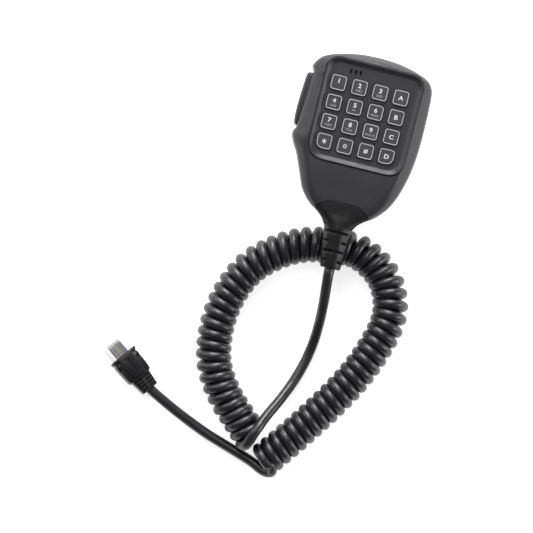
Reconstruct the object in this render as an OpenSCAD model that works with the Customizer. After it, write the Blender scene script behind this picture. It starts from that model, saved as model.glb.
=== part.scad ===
// Palm-type hand microphone with a sixteen-key pad, a push-to-talk lever on its
// left side, a hanger button on its back and a curly cord with a clear eight-way
// modular plug. The microphone lies on its back: +Z out of the keypad, +Y to its
// top, and the origin in the middle of the hanger button's outer face, at z = 0.

/* [Case] */
// Width of the case across the keypad
case_w = 66; // [64:1:80]
// Length of the case from its top to the neck seam
case_l = 86.5; // [84:0.5:105]
// Thickness of the case from its back to its face
case_t = 27.5; // [26:0.5:34]
// Distance from the hanger button's middle to the top of the case
top_y = 32; // [31:0.5:34]
// Wall of the moulded case halves
wall = 2.2; // [1.6:0.1:2.6]
// Height of the keypad frame's crest above the face
rim_h = 0.8; // [0.2:0.1:1.5]
// Width of the keypad frame's slope, from its crest down to the panel
rim_w = 2.8; // [1.5:0.1:3]
// Gap between the two case halves
part_gap = 0.15; // [0.05:0.05:0.3]

/* [Keypad] */
// Side of one square key
key_size = 8.4; // [7:0.1:8.8]
// Corner radius of a key
key_r = 1.8; // [0.8:0.1:2.6]
// Key spacing across the pad
pitch_x = 11.5; // [10.8:0.1:11.6]
// Key spacing along the pad
pitch_y = 10.8; // [10.4:0.1:11.2]
// Height of a key above the panel
key_proud = 1.4; // [0.8:0.1:2.4]
// How far a key goes down
key_travel = 0.8; // [0.3:0.1:0.9]
// Gap round each key in the panel
key_gap = 0.3; // [0.15:0.05:0.4]
// Thickness of the keypad panel
panel_t = 1.4; // [1.2:0.1:2]
// How far the panel lies below the case's face
panel_drop = 0.6; // [0:0.1:1]

/* [Push-to-talk] */
// Length of the push-to-talk lever
lever_l = 30.5; // [24:0.5:34]
// Height of the lever, across the thickness of the case
lever_h = 15; // [12:0.5:16]
// How far the lever stands out of the case's side
lever_proud = 4.3; // [3.5:0.1:6]
// Diameter of the lever's pivot pin
pin_d = 2; // [1.5:0.1:2.6]
// Running clearance of the pin in the lever, on the radius
pin_clear = 0.05; // [0.02:0.01:0.09]

/* [Hanger button] */
// Diameter of the button's head
button_d = 16; // [13:0.5:19]
// Height of the button, from the case to its outer face
button_h = 8.5; // [8:0.5:11]
// Thickness of the button's head
head_t = 2.6; // [2:0.1:3.5]
// Diameter of the shank between head and case
shank_d = 9; // [7:0.5:11]

/* [Neck] */
// Diameter of the strain relief where it leaves the case
neck_d = 14.8; // [12:0.2:16]
// Diameter of the strain relief at its end
relief_d = 11.2; // [9:0.2:13]
// Length of the strain relief beyond the neck
relief_l = 21; // [18:1:26]

/* [Cord and plug] */
// Diameter of the cord
cord_d = 5.6; // [4.6:0.1:5.7]
// Outer diameter of the curly part of the cord
coil_d = 19.8; // [17:0.1:20.2]
// Width of the modular plug
plug_w = 11.7; // [11.6:0.05:11.8]
// Height of the modular plug's body
plug_h = 6.6; // [6.4:0.1:6.8]
// Length of the modular plug
plug_l = 21.5; // [21.3:0.1:23]
// Length of the plug's boot, from its front flange to the cord
boot_l = 22.9; // [20:0.1:26]

/* [Hidden] */
$fn = 48;

half_w = case_w / 2;
back_z = button_h;
face_z = back_z + case_t;
part_z = back_z + 0.4 * case_t;
seam_y = top_y - case_l;
neck_z = face_z - 8;
// The parting line is level round the keypad and climbs towards the neck.
part_bend_y = -18;
part_climb = 6;

// Shares of the half width at shares of the case's length, top to bottom.
right_side = [
    [0, 0], [0.006, 0.3], [0.028, 0.6], [0.06, 0.83], [0.1, 0.94], [0.16, 0.985],
    [0.32, 1], [0.5, 0.995], [0.62, 0.965], [0.72, 0.915], [0.82, 0.835],
    [0.9, 0.735], [0.96, 0.61], [1, 0.49]
];
// The left side swells into an ear above the lever and a bump below it.
left_side = [
    [0, 0], [0.006, 0.3], [0.028, 0.6], [0.06, 0.85], [0.1, 0.98], [0.148, 1.04],
    [0.185, 1.01], [0.36, 1.03], [0.53, 1.065], [0.58, 1.1], [0.635, 1.055],
    [0.7, 0.955], [0.82, 0.82], [0.9, 0.73], [0.96, 0.61], [1, 0.49]
];
// Edge of the case's flat face: how far it stands in from the outline.
edge_side = 6.8;
edge_top = 4.2;
// Shares of the thickness and of the edge inset at each level of the case.
levels = [
    [0, 1.1], [0.02, 0.85], [0.08, 0.5], [0.18, 0.25], [0.3, 0.08], [0.4, 0],
    [0.6, 0.01], [0.72, 0.05], [0.79, 0.14], [0.86, 0.36], [0.93, 0.62], [0.98, 0.86], [1, 1.1]
];
back_bend_y = -18;
back_rise = 12;
face_bend_y = -31;
face_drop = 1;

// --- Shape functions -------------------------------------------------------

function mix(a, b, t) = a + (b - a) * t;
function clamp01(t) = min(max(t, 0), 1);
function ease(t) = let (c = clamp01(t)) c * c * (3 - 2 * c);
function unit(v) = v / norm(v);
function flip(list) = [for (i = [len(list) - 1:-1:0]) list[i]];

// One point of the smooth curve through p, on its stretch i, at share t.
function curve_at(p, i, t) =
    let (a = p[max(i - 1, 0)], b = p[i], c = p[i + 1], d = p[min(i + 2, len(p) - 1)])
    0.5 * (2 * b + (c - a) * t + (2 * a - 5 * b + 4 * c - d) * t * t
        + (3 * b - a - 3 * c + d) * t * t * t);
function curve(p, n) = concat(
    [for (i = [0:len(p) - 2]) for (k = [0:n - 1]) curve_at(p, i, k / n)], [p[len(p) - 1]]);

// A polygon with its corners rounded by curves that start a length r from each.
function rounded(p, r, n = 5) =
    [for (i = [0:len(p) - 1])
        let (a = p[(i + len(p) - 1) % len(p)], b = p[i], c = p[(i + 1) % len(p)],
             rr = is_list(r) ? r[i] : r,
             s = b + unit(a - b) * rr, e = b + unit(c - b) * rr)
        for (k = [0:n]) let (t = k / n) mix(mix(s, b, t), mix(b, e, t), t)];
function rect(x0, y0, x1, y1) = [[x1, y0], [x1, y1], [x0, y1], [x0, y0]];

// A closed solid through rings of equal count, each anticlockwise about the way on.
module skin(rings) {
    n = len(rings[0]);
    m = len(rings);
    polyhedron(
        points = [for (ring = rings) for (p = ring) p],
        faces = concat(
            [[for (i = [0:n - 1]) i]],
            [[for (i = [n - 1:-1:0]) (m - 1) * n + i]],
            [for (j = [0:m - 2]) for (i = [0:n - 1]) let (k = (i + 1) % n)
                each [[j * n + i, (j + 1) * n + i, (j + 1) * n + k],
                      [j * n + i, (j + 1) * n + k, j * n + k]]]),
        convexity = 6);
}

// A round tube swept along a list of points.
function tube_rings(p, r, sides) =
    [for (i = [0:len(p) - 1])
        let (d = unit(p[min(i + 1, len(p) - 1)] - p[max(i - 1, 0)]),
             u = unit(cross([0, 0, 1], d)), v = cross(d, u))
        [for (k = [0:sides - 1]) let (a = 360 * (k + 0.5) / sides)
            p[i] + r * (cos(a) * u + sin(a) * v)]];
module tube(p, r, sides) skin(tube_rings(p, r, sides));

module slab(p, z0, z1) translate([0, 0, z0]) linear_extrude(z1 - z0) polygon(p);
module post(x, y, r, z0, z1) translate([x, y, z0]) cylinder(r = r, h = z1 - z0);

// --- Case form -------------------------------------------------------------

function back_at(y) = back_z + back_rise * ease((back_bend_y - y) / (back_bend_y - seam_y));
function face_at(y) = face_z - face_drop * ease((face_bend_y - y) / (face_bend_y - seam_y));

function side_line(p, w, y0, l, way) = [for (q = curve(p, 2)) [way * q[1] * w, y0 - q[0] * l]];
// Both sides in one outline, anticlockwise from the bottom right corner.
function both_sides(w, y0, l) = concat(
    flip(side_line(right_side, w, y0, l, 1)),
    [for (i = [1:len(left_side) * 2 - 2]) side_line(left_side, w, y0, l, -1)[i]]);
outline = both_sides(half_w, top_y, case_l);
facet = concat(
    flip(side_line(right_side, half_w - edge_side, top_y - edge_top, case_l - edge_top, 1)),
    [for (i = [1:len(left_side) * 2 - 2])
        side_line(left_side, (half_w - edge_side) * 0.97, top_y - edge_top,
                  case_l - edge_top, -1)[i]]);

// The case's form, drawn in by a wall of thickness t and stretched past the seam.
function case_ring(share, inset, t) =
    [for (i = [0:len(outline) - 1])
        let (p = mix(outline[i], facet[i], inset + t / edge_side),
             y = t > 0 && p[1] < seam_y + 3 ? p[1] - 3 : p[1])
        [p[0], y, mix(back_at(y) + t, face_at(y) - t, share)]];
function shrunk(ring, s, share, t) =
    [for (p = ring) let (y = mix(-8, p[1], s)) [p[0] * s, y, mix(back_at(y) + t, face_at(y) - t, share)]];
module case_form(t = 0) {
    body = [for (l = levels) case_ring(l[0], l[1], t)];
    low = body[0];
    high = body[len(body) - 1];
    skin(concat(
        [for (s = [0.02, 0.3, 0.6, 0.85]) shrunk(low, s, 0, t)], body,
        [for (s = [0.85, 0.6, 0.3, 0.02]) shrunk(high, s, 1, t)]));
}
function part_at(y) = part_z + part_climb * max(0, (part_bend_y - y) / (part_bend_y - seam_y));
// Everything behind the parting line, drawn back from it by a gap.
module behind_parting(gap) translate([-100, 0, 0]) rotate([90, 0, 90]) linear_extrude(200)
    polygon([[-150, -1], [100, -1], [100, part_z - gap], [part_bend_y, part_z - gap],
             [-150, part_at(-150) - gap]]);
module case_shell() difference() {
    case_form();
    case_form(wall);
}

// --- Keypad layout ---------------------------------------------------------

pad_x = -1.1;
pad_y = -3.1;
key_names = ["1", "2", "3", "a", "4", "5", "6", "b", "7", "8", "9", "c", "star", "0", "hash", "d"];
function key_x(i) = pad_x + (i % 4 - 1.5) * pitch_x;
function key_y(i) = pad_y + (1.5 - floor(i / 4)) * pitch_y;

// Panel outline: a trapezoid, a little narrower at the bottom.
panel_top = 24.2;
panel_low = -26.4;
panel_w_top = 24;
panel_w_low = 23.6;
function panel_line(g) = rounded(
    [[panel_w_low + g, panel_low - g], [panel_w_top + g, panel_top + g],
     [-panel_w_top - g, panel_top + g], [-panel_w_low - g, panel_low - g]],
    [7 + g, 5.5 + g, 5.5 + g, 7 + g], 6);
seat_gap = 0.15;
seat_in = 0.4;
ledge_t = 1.2;
panel_z = face_z - panel_drop;
panel_under = panel_z - panel_t;

key_top_z = panel_z + key_proud;
flange_t = 1;
flange_over = 0.5;
flange_z = panel_under - 0.3 - flange_t;
stem_r = 2.4;
board_t = 1.6;
board_z = panel_under - 4.4;
dome_t = 0.25;
stem_z = board_z + dome_t + key_travel + 0.2;
mat_t = 1.4;
mat_clear = 0.6;

function key_corners(i, g) =
    let (c = key_size / 2 + g, cut = key_size * 0.52)
    rounded(rect(key_x(i) - c, key_y(i) - c, key_x(i) + c, key_y(i) + c),
            [i == 15 ? cut : key_r, key_r, key_r, i == 12 ? cut : key_r], 4);

// --- Bosses and screws -----------------------------------------------------

case_screw_at = [[-22, top_y - 9], [22, top_y - 9], [-19, seam_y + 12.5], [19, seam_y + 12.5]];
board_screw_at = [[6, panel_top - 0.2], [-17, panel_low - 4.6], [17, panel_low - 4.6]];
clamp_screw_at = [[-8, seam_y + 9.5], [8, seam_y + 9.5]];
screw_r = 1.4;
screw_clear = 0.05;
boss_r = 3.1;
board_boss_r = 2.3;
screw_head_r = 2.7;
screw_head_h = 1.8;

// --- Push-to-talk ----------------------------------------------------------

lever_top_y = top_y - 0.185 * case_l - 0.2;
lever_low_y = lever_top_y - lever_l;
lever_z = part_z + 1;
lever_in_x = -half_w + 1.6;
lever_out_x = -half_w - lever_proud;
pin_x = -half_w + 1.4;
pin_y = lever_top_y - 2.8;
knuckle_r = pin_d / 2 + 1.3;
bay_gap = 0.7;
bay_wall = 2;
bay_in_x = -half_w + 4.3;
bay_end_gap = 1.2;
// The pin goes only a little way into the bay's roof, which is thin at the case's edge.
pin_in_roof = 0.4;
bay_z0 = lever_z - lever_h / 2 - bay_gap;
bay_z1 = lever_z + lever_h / 2 + bay_gap;
press_y = lever_top_y - 20;
plunger_r = 1.5;
plunger_gap = 0.3;
plunger_z = lever_z + 1;
rib_x = lever_in_x + 1.2;

function lever_outline() = concat(
    [[lever_in_x, lever_low_y + 0.6], [lever_in_x, lever_top_y - 0.4], [lever_in_x - 1, lever_top_y]],
    curve([[lever_out_x + 1.6, lever_top_y - 0.5], [lever_out_x + 0.9, lever_top_y - 5],
           [lever_out_x, lever_low_y + 12], [lever_out_x + 0.3, lever_low_y + 3],
           [lever_out_x + 1.2, lever_low_y + 0.4]], 4),
    [[lever_in_x - 1.6, lever_low_y]]);

// --- Neck and cord ---------------------------------------------------------

neck_y = seam_y - 9.5;
relief_end_y = neck_y - relief_l;
relief_lean = 1.3;
clamp_y = seam_y + 9.5;
lean_deg = asin(relief_lean / (clamp_y - relief_end_y));
// Turns the cord's straight run a little about the clamp, so that the relief leans.
module leaned() translate([0, clamp_y, 0]) rotate([0, 0, lean_deg]) translate([0, -clamp_y, 0]) children();
cord_r = cord_d / 2;
cord_hug = 0.05;
entry_y = seam_y + 14;
arch_top = seam_y + 5.9;
arch = rounded([[17.6, seam_y - 8], [16, seam_y - 0.4], [9.5, arch_top], [-9.5, arch_top],
                [-16, seam_y - 0.4], [-17.6, seam_y - 8]], [0.5, 2, 4.5, 4.5, 2, 0.5], 4);

// Distance from the floor to the middle of a tail that lies on it.
lie_z = cord_r + 0.05;
coil_r = coil_d / 2;
coil_z = coil_r + 0.05;
// How far the cord lies from where it lies below a case of the usual length.
lie_y = relief_end_y + 85;
function lowered(route) = [for (p = route) [for (k = [0:len(p) - 1]) p[k] + (k == 1 ? lie_y : 0)]];
// Middle line of the curly part, from the microphone tail's end to the plug tail's.
coil_route = lowered([
    [-17.5, -184.5], [-27, -175.5], [-35.5, -167.5], [-42.5, -158.5], [-47.5, -149],
    [-50, -137.5], [-50.5, -126], [-49, -115], [-45.5, -104], [-40, -94], [-32, -86],
    [-22, -79], [-11, -74.5], [0, -73], [12, -72], [23, -76], [31.5, -82.5],
    [36.5, -90.5], [39, -99], [39, -108], [36, -120], [31.5, -132.5], [26, -144],
    [19, -156], [11.5, -167.5], [4, -178.5], [-8, -195]
]);
// The tail from the strain relief sags to the floor and climbs over the curly part's end.
mic_tail_route = concat([
    [relief_lean, relief_end_y, neck_z], [relief_lean + 0.1, relief_end_y - 4, neck_z]
], lowered([
    [2, -96, 25], [2.8, -105, 18.5], [3.2, -115, 10],
    [2.8, -126, 4.2], [0.8, -138, lie_z], [-2.8, -150, 4.5], [-7.5, -161, 10.5],
    [-12.5, -171, 16.5], [-16.2, -180, 21.6], [-19.4, -188.5, 18.6]
]));
// The tail from the curly part's other end runs along the floor to the plug.
plug_tail_route = lowered([
    [-3.8, -196.5, 15.5], [-2.6, -200, 12.5], [-7, -200.6, 9.5], [-15.5, -197, 7],
    [-27, -193.3, 5.2], [-42.5, -188.4, 4.2], [-58, -182, 4.6], [-69, -176.8, 5.6]
]);

// --- Plug ------------------------------------------------------------------

plug_at = [-96, -158.9 + lie_y];
plug_turn = 144;
plug_roll = 12;
boot_w = 15;
boot_h = 9.2;
plug_z = boot_w / 2 * sin(plug_roll) + boot_h / 2 * cos(plug_roll) + 0.1;
plug_shown = 10.4;
plug_back = plug_shown - plug_l;
rib_w = 9.6;
rib_h = 8.2;
rib_start = -14;
way_count = 8;
way_pitch = 1.02;
blade_t = 0.35;
latch_w = 6;
latch_t = 1;
latch_root_x = plug_shown - 1.2;
latch_z = plug_h / 2 + 0.35;
latch_l = 13.6;
latch_rise = 4;
pad_rise = 2.2;
pad_w = 8.6;
module at_plug() translate([plug_at[0], plug_at[1], plug_z])
    rotate([0, 0, plug_turn]) rotate([plug_roll, 0, 0]) children();
plug_exit = [
    plug_at[0] - boot_l * cos(plug_turn), plug_at[1] - boot_l * sin(plug_turn), plug_z];

// --- Sub-parts -------------------------------------------------------------

module bay_block() translate([-half_w - 6, lever_low_y - bay_end_gap - bay_wall, bay_z0 - bay_wall])
    cube([6 + half_w + bay_in_x + bay_wall, lever_l + 2 * (bay_end_gap + bay_wall),
          bay_z1 - bay_z0 + 2 * bay_wall]);
module bay_pocket() translate([-half_w - 12, lever_low_y - bay_end_gap, bay_z0])
    cube([12 + half_w + bay_in_x, lever_l + 2 * bay_end_gap, bay_z1 - bay_z0]);

module front_case() color("#3a3a3e") difference() {
    union() {
        difference() {
            case_shell();
            behind_parting(0);
        }
        intersection() {
            case_form(0.05);
            union() {
                bay_block();
                for (s = case_screw_at) post(s[0], s[1], boss_r, part_at(s[1]) + 0.6, face_z - 1);
            }
        }
        for (s = board_screw_at) post(s[0], s[1], board_boss_r, board_z, face_at(s[1]) - 1);
        for (s = clamp_screw_at) post(s[0], s[1], 2.2, neck_z + 3.4, face_at(s[1]) - 1);
        intersection() {
            case_form(0.05);
            slab(panel_line(rim_w + 1.4), panel_under - ledge_t, panel_under + 0.5);
        }
    }
    slab(panel_line(rim_w + seat_gap), panel_under, face_z + 9);
    slab(panel_line(seat_in), face_z - 6, face_z + 9);
    bay_pocket();
    translate([bay_in_x - 1, press_y, plunger_z]) rotate([0, 90, 0])
        cylinder(r = plunger_r + 0.3, h = bay_wall + 2);
    post(pin_x, pin_y, pin_d / 2 + screw_clear, bay_z0 - bay_wall + 0.4, bay_z1 + pin_in_roof + 0.1);
    slab(arch, neck_z, face_z + 9);
    for (s = case_screw_at) post(s[0], s[1], screw_r + screw_clear, part_z - 1, face_z - 6);
    for (s = board_screw_at) post(s[0], s[1], screw_r * 0.7, board_z - 1, board_z + 2.6);
    for (s = clamp_screw_at) post(s[0], s[1], screw_r * 0.7, neck_z, neck_z + 5);
}

module rear_cover() color("#343438") difference() {
    union() {
        intersection() {
            case_shell();
            behind_parting(part_gap);
        }
        intersection() {
            case_form(0.05);
            union() {
                for (s = case_screw_at)
                    post(s[0], s[1], boss_r + 1, back_z, part_at(s[1]) - part_gap - 0.6);
                post(0, 0, shank_d / 2 + 1, back_z, back_z + wall + 1.2);
            }
        }
    }
    bay_clearance();
    for (s = case_screw_at) {
        post(s[0], s[1], screw_r + 0.3, back_z - 1, part_at(s[1]) + 2);
        post(s[0], s[1], screw_head_r + 0.4, back_z - 1, back_at(s[1]) + 3.4);
    }
    post(0, 0, screw_r + 0.6 + screw_clear, back_z - 1, back_z + wall + 2);
}
module bay_clearance() translate([-half_w - 6, lever_low_y - bay_end_gap - bay_wall - part_gap,
                                       bay_z0 - bay_wall - part_gap])
    cube([6 + half_w + bay_in_x + bay_wall + part_gap,
          lever_l + 2 * (bay_end_gap + bay_wall + part_gap), bay_z1 - bay_z0 + 2 * bay_wall]);

slot_at = [-13.2, -10.6, -8];
slot_y = 20.8;
capsule_x = slot_at[1];
capsule_y = 22.7;
module keypad_panel() color("#2b2b2e") difference() {
    skin([for (s = [[rim_w, panel_under], [rim_w, face_z + rim_h - 0.3],
                    [rim_w - 0.35, face_z + rim_h], [0, panel_z]])
        [for (p = panel_line(s[0])) [p[0], p[1], s[1]]]]);
    for (i = [0:15]) slab(key_corners(i, key_gap), panel_under - 1, panel_z + 1);
    for (x = slot_at) slab(rounded(rect(x - 0.6, slot_y - 1.3, x + 0.6, slot_y + 1.3), 0.55, 3),
                           panel_under - 1, panel_z + 1);
}

module one_key(i) color("#26262a") union() {
    slab(key_corners(i, 0), flange_z, key_top_z);
    slab(key_corners(i, flange_over), flange_z, flange_z + flange_t);
    post(key_x(i), key_y(i), stem_r, stem_z, flange_z + 0.5);
}

module key_mat() color("#4a4a4e") difference() {
    slab(rounded(rect(key_x(0) - 5.2, key_y(15) - 5.2, key_x(3) + 5.2, key_y(0) + 5.2), 2, 3),
         board_z, board_z + mat_t);
    for (i = [0:15]) post(key_x(i), key_y(i), stem_r + mat_clear, board_z - 1, board_z + 4);
}

board_w = 22.4;
board_top = panel_top + 1.4;
board_low = panel_low - 8.2;
module circuit_board() color("#2e6b3c") difference() {
    slab(rounded(rect(-board_w, board_low, board_w, board_top), 2, 3), board_z - board_t, board_z);
    for (s = case_screw_at) post(s[0], s[1], boss_r + 1.5, board_z - 3, board_z + 1);
    for (s = board_screw_at) post(s[0], s[1], screw_r * 0.7 + 0.1, board_z - 3, board_z + 1);
}
module contact_domes() color("#c9b26b")
    for (i = [0:15]) post(key_x(i), key_y(i), 2.1, board_z, board_z + dome_t);
module board_parts() color("#1c1c1f") union() {
    under = board_z - board_t;
    for (c = [[6, 6, 7.6, 5.2, 1.6], [-4, -14, 10, 7, 1.8], [10, -10, 3.2, 2.6, 1.2],
              [14, 14, 4, 3.4, 1.4], [-13, 12, 5, 3, 2.4]])
        translate([c[0] - c[2] / 2, c[1] - c[3] / 2, under - c[4]]) cube([c[2], c[3], c[4]]);
    for (c = [[16, 2], [-6, 20], [13, -20]]) post(c[0], c[1], 2.2, under - 5.4, under);
}
module board_screws() color("#b9bbc0") for (s = board_screw_at) {
    post(s[0], s[1], screw_r * 0.7 - screw_clear, board_z - board_t, board_z + 2.2);
    post(s[0], s[1], 1.9, board_z - board_t - 1.2, board_z - board_t);
}

capsule_r = 3;
capsule_h = 2.1;
module mic_capsule() color("#c4c6ca")
    post(capsule_x, capsule_y, capsule_r, board_z + 0.4, board_z + capsule_h + 0.4);
module capsule_boot() color("#1d1d20") difference() {
    post(capsule_x, capsule_y, capsule_r + 0.5, board_z, board_z + capsule_h + 0.6);
    post(capsule_x, capsule_y, capsule_r, board_z + 0.4, board_z + capsule_h + 0.4);
    post(capsule_x, capsule_y, capsule_r * 0.7, board_z + capsule_h, board_z + capsule_h + 2);
}
module dust_screen() color("#141416")
    slab(rect(slot_at[0] - 1.4, slot_y - 2, slot_at[2] + 1.4, slot_y + 2), panel_under - 0.4, panel_under);

module ptt_lever() color("#2a2a2d") difference() {
    union() {
        slab(lever_outline(), lever_z - lever_h / 2, lever_z + lever_h / 2);
        post(pin_x, pin_y, knuckle_r, lever_z - lever_h / 2, lever_z + lever_h / 2);
        translate([lever_in_x - 0.5, press_y - 2, plunger_z - 2])
            cube([rib_x - lever_in_x + 0.5, 4, 4]);
    }
    post(pin_x, pin_y, pin_d / 2 + pin_clear, lever_z - lever_h, lever_z + lever_h);
}
module ptt_pin() color("#b9bbc0")
    post(pin_x, pin_y, pin_d / 2, bay_z0 - bay_wall + 0.5, bay_z1 + pin_in_roof);
switch_x0 = bay_in_x + bay_wall + 0.3;
switch_d = 6.4;
module ptt_switch() color("#222226") difference() {
    translate([switch_x0, press_y - 5, plunger_z - 3])
        cube([switch_d, 10, board_z - board_t - plunger_z + 3]);
    translate([switch_x0 - 1, press_y, plunger_z]) rotate([0, 90, 0])
        cylinder(r = plunger_r + pin_clear, h = 5.4);
}
module ptt_plunger() color("#b33a2e")
    translate([rib_x + plunger_gap, press_y, plunger_z]) rotate([0, 90, 0])
        cylinder(r = plunger_r, h = switch_x0 + 2.2 - rib_x - plunger_gap);

hanger_screw_r = screw_r + 0.6;
hanger_hole_z = head_t + 0.8;
module hanger_button() color("#b4b6ba") difference() {
    rotate_extrude() polygon([
        [0, 0], [button_d / 2, 0], [button_d / 2, head_t], [shank_d / 2, head_t + 0.5],
        [shank_d / 2, button_h - 0.5], [shank_d / 2 + 1, button_h], [0, button_h]]);
    post(0, 0, hanger_screw_r + screw_clear, hanger_hole_z, button_h + 1);
}
module hanger_screw() color("#8e9094") union() {
    post(0, 0, hanger_screw_r, hanger_hole_z + 0.3, back_z + wall + 1.2);
    post(0, 0, 3.6, back_z + wall + 1.2, back_z + wall + 3.6);
}
module case_screws() color("#8e9094") for (s = case_screw_at) {
    seat = back_at(s[1]) + 3.4;
    post(s[0], s[1], screw_r, seat - 0.1, face_z - 8);
    difference() {
        post(s[0], s[1], screw_head_r, seat - screw_head_h, seat);
        for (a = [0, 90]) translate([s[0], s[1], seat - screw_head_h]) rotate([0, 0, a])
            cube([2.6, 0.5, 1.4], center = true);
    }
}

// Boot cross-sections: y, half width, middle height, half height, squareness, lean.
inner_w = 12.6;
boot_rows = [
    [seam_y + 6, inner_w, neck_z - 0.4, 4.2, 4, 0],
    [seam_y - 0.15, inner_w, neck_z - 0.4, 4.2, 4, 0],
    [seam_y - 0.15, 15.9, neck_z - 0.3, 7.1, 4, 0.1],
    [seam_y - 2, 12.8, neck_z - 0.2, 7.2, 3, 0.1],
    [seam_y - 4.6, 10.2, neck_z, 7.3, 2.5, 0.1],
    [seam_y - 7.2, 8.4, neck_z, 7.4, 2.1, 0.1],
    [neck_y, neck_d / 2, neck_z, neck_d / 2, 2, 0.2],
    [neck_y - relief_l * 0.5, mix(neck_d, relief_d, 0.45) / 2, neck_z,
     mix(neck_d, relief_d, 0.45) / 2, 2, relief_lean * 0.5],
    [relief_end_y, relief_d / 2, neck_z, relief_d / 2, 2, relief_lean]
];
function blunt(c, n) = sign(c) * pow(abs(c), 2 / n);
function boot_ring(r) = [for (k = [0:31]) let (a = 360 * (k + 0.5) / 32)
    [r[5] + r[1] * blunt(cos(a), r[4]), r[0], r[2] + r[3] * blunt(sin(a), r[4])]];
// Slots of the relief, on a scale of 21 from the neck to its end; 1 for a pair of side slots.
slot_scale = 21;
relief_slots = [[0.4, 0], [5.7, 1], [11.2, 0], [16.4, 1]];
slot_w = 1.6;
module relief_cut(at, side_only) {
    share = at / slot_scale;
    r = mix(neck_d, relief_d, share) / 2;
    for (way = [-1, 1]) translate([relief_lean * share, neck_y - relief_l * share, neck_z])
        mirror([0, 0, way < 0 ? 1 : 0])
        if (side_only)
            for (s = [-1, 1]) translate([s * r * 0.75 - r * 0.3, -slot_w / 2, r * 0.52])
                cube([r * 0.6, slot_w, r]);
        else translate([-r * 0.8, -slot_w / 2, r * 0.74]) cube([r * 1.6, slot_w, r]);
}
module neck_boot() color("#1f1f22") difference() {
    union() {
        skin([for (r = boot_rows) boot_ring(r)]);
        intersection() {
            case_form(0.02);
            slab([for (p = arch) [p[0] * 0.988, max(p[1] - 0.15, seam_y - 1.4)]],
                 neck_z + 0.15, face_z + 3);
        }
    }
    leaned() translate([0, entry_y, neck_z]) rotate([90, 0, 0])
        cylinder(r = cord_r + cord_hug, h = 60 + relief_l);
    for (s = relief_slots) relief_cut(s[0], s[1] == 1);
}
module cord_entry() color("#17171a") leaned() translate([0, entry_y, neck_z]) rotate([90, 0, 0])
    cylinder(r = cord_r, h = entry_y - relief_end_y);
module cord_clamp() color("#b9bbc0") difference() {
    union() {
        translate([-11, clamp_y - 2.5, neck_z + 2.2]) cube([22, 5, 1.2]);
        translate([0, clamp_y + 2.5, neck_z]) rotate([90, 0, 0]) cylinder(r = cord_r + 1, h = 5);
    }
    leaned() translate([0, clamp_y + 4, neck_z]) rotate([90, 0, 0])
        cylinder(r = cord_r + cord_hug, h = 8);
    for (s = clamp_screw_at) post(s[0], s[1], screw_r * 0.7 + 0.1, neck_z, neck_z + 5);
}
module clamp_screws() color("#8e9094") for (s = clamp_screw_at) {
    post(s[0], s[1], screw_r * 0.7 - screw_clear, neck_z + 2.2, neck_z + 4.8);
    post(s[0], s[1], 1.9, neck_z + 1, neck_z + 2.2);
}

socket_y = board_low + 4.2;
socket_z = board_z - board_t;
module lead_socket() color("#e6e2d6") difference() {
    translate([-7, socket_y - 2.6, socket_z - 5.4]) cube([14, 5.2, 5.4]);
    translate([-6, socket_y - 1.6, socket_z - 6]) cube([12, 3.2, 5]);
}
module lead_plug() color("#d9d4c4")
    translate([-5.8, socket_y - 1.4, socket_z - 7]) cube([11.6, 2.8, 5.8]);
module lead_wires() for (i = [0:way_count - 1]) {
    x = (i - 3.5) * 1.3;
    lift = i % 2 == 0 ? 0.7 : -0.7;
    xs = (floor(i / 2) - 1.5) * 1.15;
    y0 = socket_y - 1.4;
    z0 = socket_z - 6.2;
    y1 = entry_y;
    color(core_colours[i]) tube([
        [x, y0, z0], [x, y0 - 1.8, z0],
        [mix(x, xs, 0.3), mix(y0, y1, 0.45), z0 + lift * 0.8],
        [mix(x, xs, 0.75), mix(y0, y1, 0.72), mix(z0, neck_z, 0.55) + lift],
        [xs, mix(y0, y1, 0.9), neck_z - 0.7 + lift], [xs, y1, neck_z + lift]], 0.42, 6);
}
core_colours = ["#3048a8", "#e6e6e6", "#2f8a44", "#d98a2b", "#202024", "#7a4a2c", "#c8387a", "#c03030"];

module cord_mic_tail() color("#131316") tube(curve(mic_tail_route, 2), cord_r, 10);
module cord_coil() color("#131316")
    tube([for (p = coil_route) [p[0], p[1], coil_z]], coil_r / cos(180 / 12), 12);
module cord_plug_tail() color("#131316")
    tube(curve(concat(plug_tail_route, [plug_exit]), 2), cord_r, 10);

// Plug pieces, each drawn with +X to the plug's tip and its latch on top.
module plug_body() color([0.86, 0.88, 0.9, 0.5]) at_plug() difference() {
    translate([plug_back, -plug_w / 2, -plug_h / 2]) cube([plug_l, plug_w, plug_h]);
    for (k = [0:way_count - 1]) translate([plug_shown - 6.4, (k - 3.5) * way_pitch - 0.24, -plug_h / 2 - 1])
        cube([6, 0.48, 3.2]);
    for (k = [0:way_count - 1]) translate([plug_back + 1, (k - 3.5) * way_pitch, 0.4])
        rotate([0, 90, 0]) cylinder(r = core_r + 0.06, h = plug_l - 2.5);
    translate([plug_back - 1, -plug_w / 2 + 1.4, -2.4]) cube([5, plug_w - 2.8, 4.6]);
}
core_r = 0.44;
module plug_contacts() color("#cfae5a") at_plug() for (k = [0:way_count - 1])
    translate([plug_shown - 6.2, (k - 3.5) * way_pitch - blade_t / 2, -plug_h / 2 + 0.2])
        cube([5.6, blade_t, 1.9]);
module plug_cores() at_plug() for (k = [0:way_count - 1])
    color(core_colours[k]) translate([plug_back + 4.2, (k - 3.5) * way_pitch, 0.4])
        rotate([0, 90, 0]) cylinder(r = core_r, h = plug_l - 6);
module plug_latch() color([0.86, 0.88, 0.9, 0.5]) at_plug() translate([latch_root_x, 0, latch_z])
    rotate([0, latch_rise, 0]) translate([-latch_l, -latch_w / 2, 0])
        union() {
            cube([latch_l, latch_w, latch_t]);
            translate([6.6, 0, 0]) cube([3.4, latch_w, latch_t + 0.5]);
        }
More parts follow.
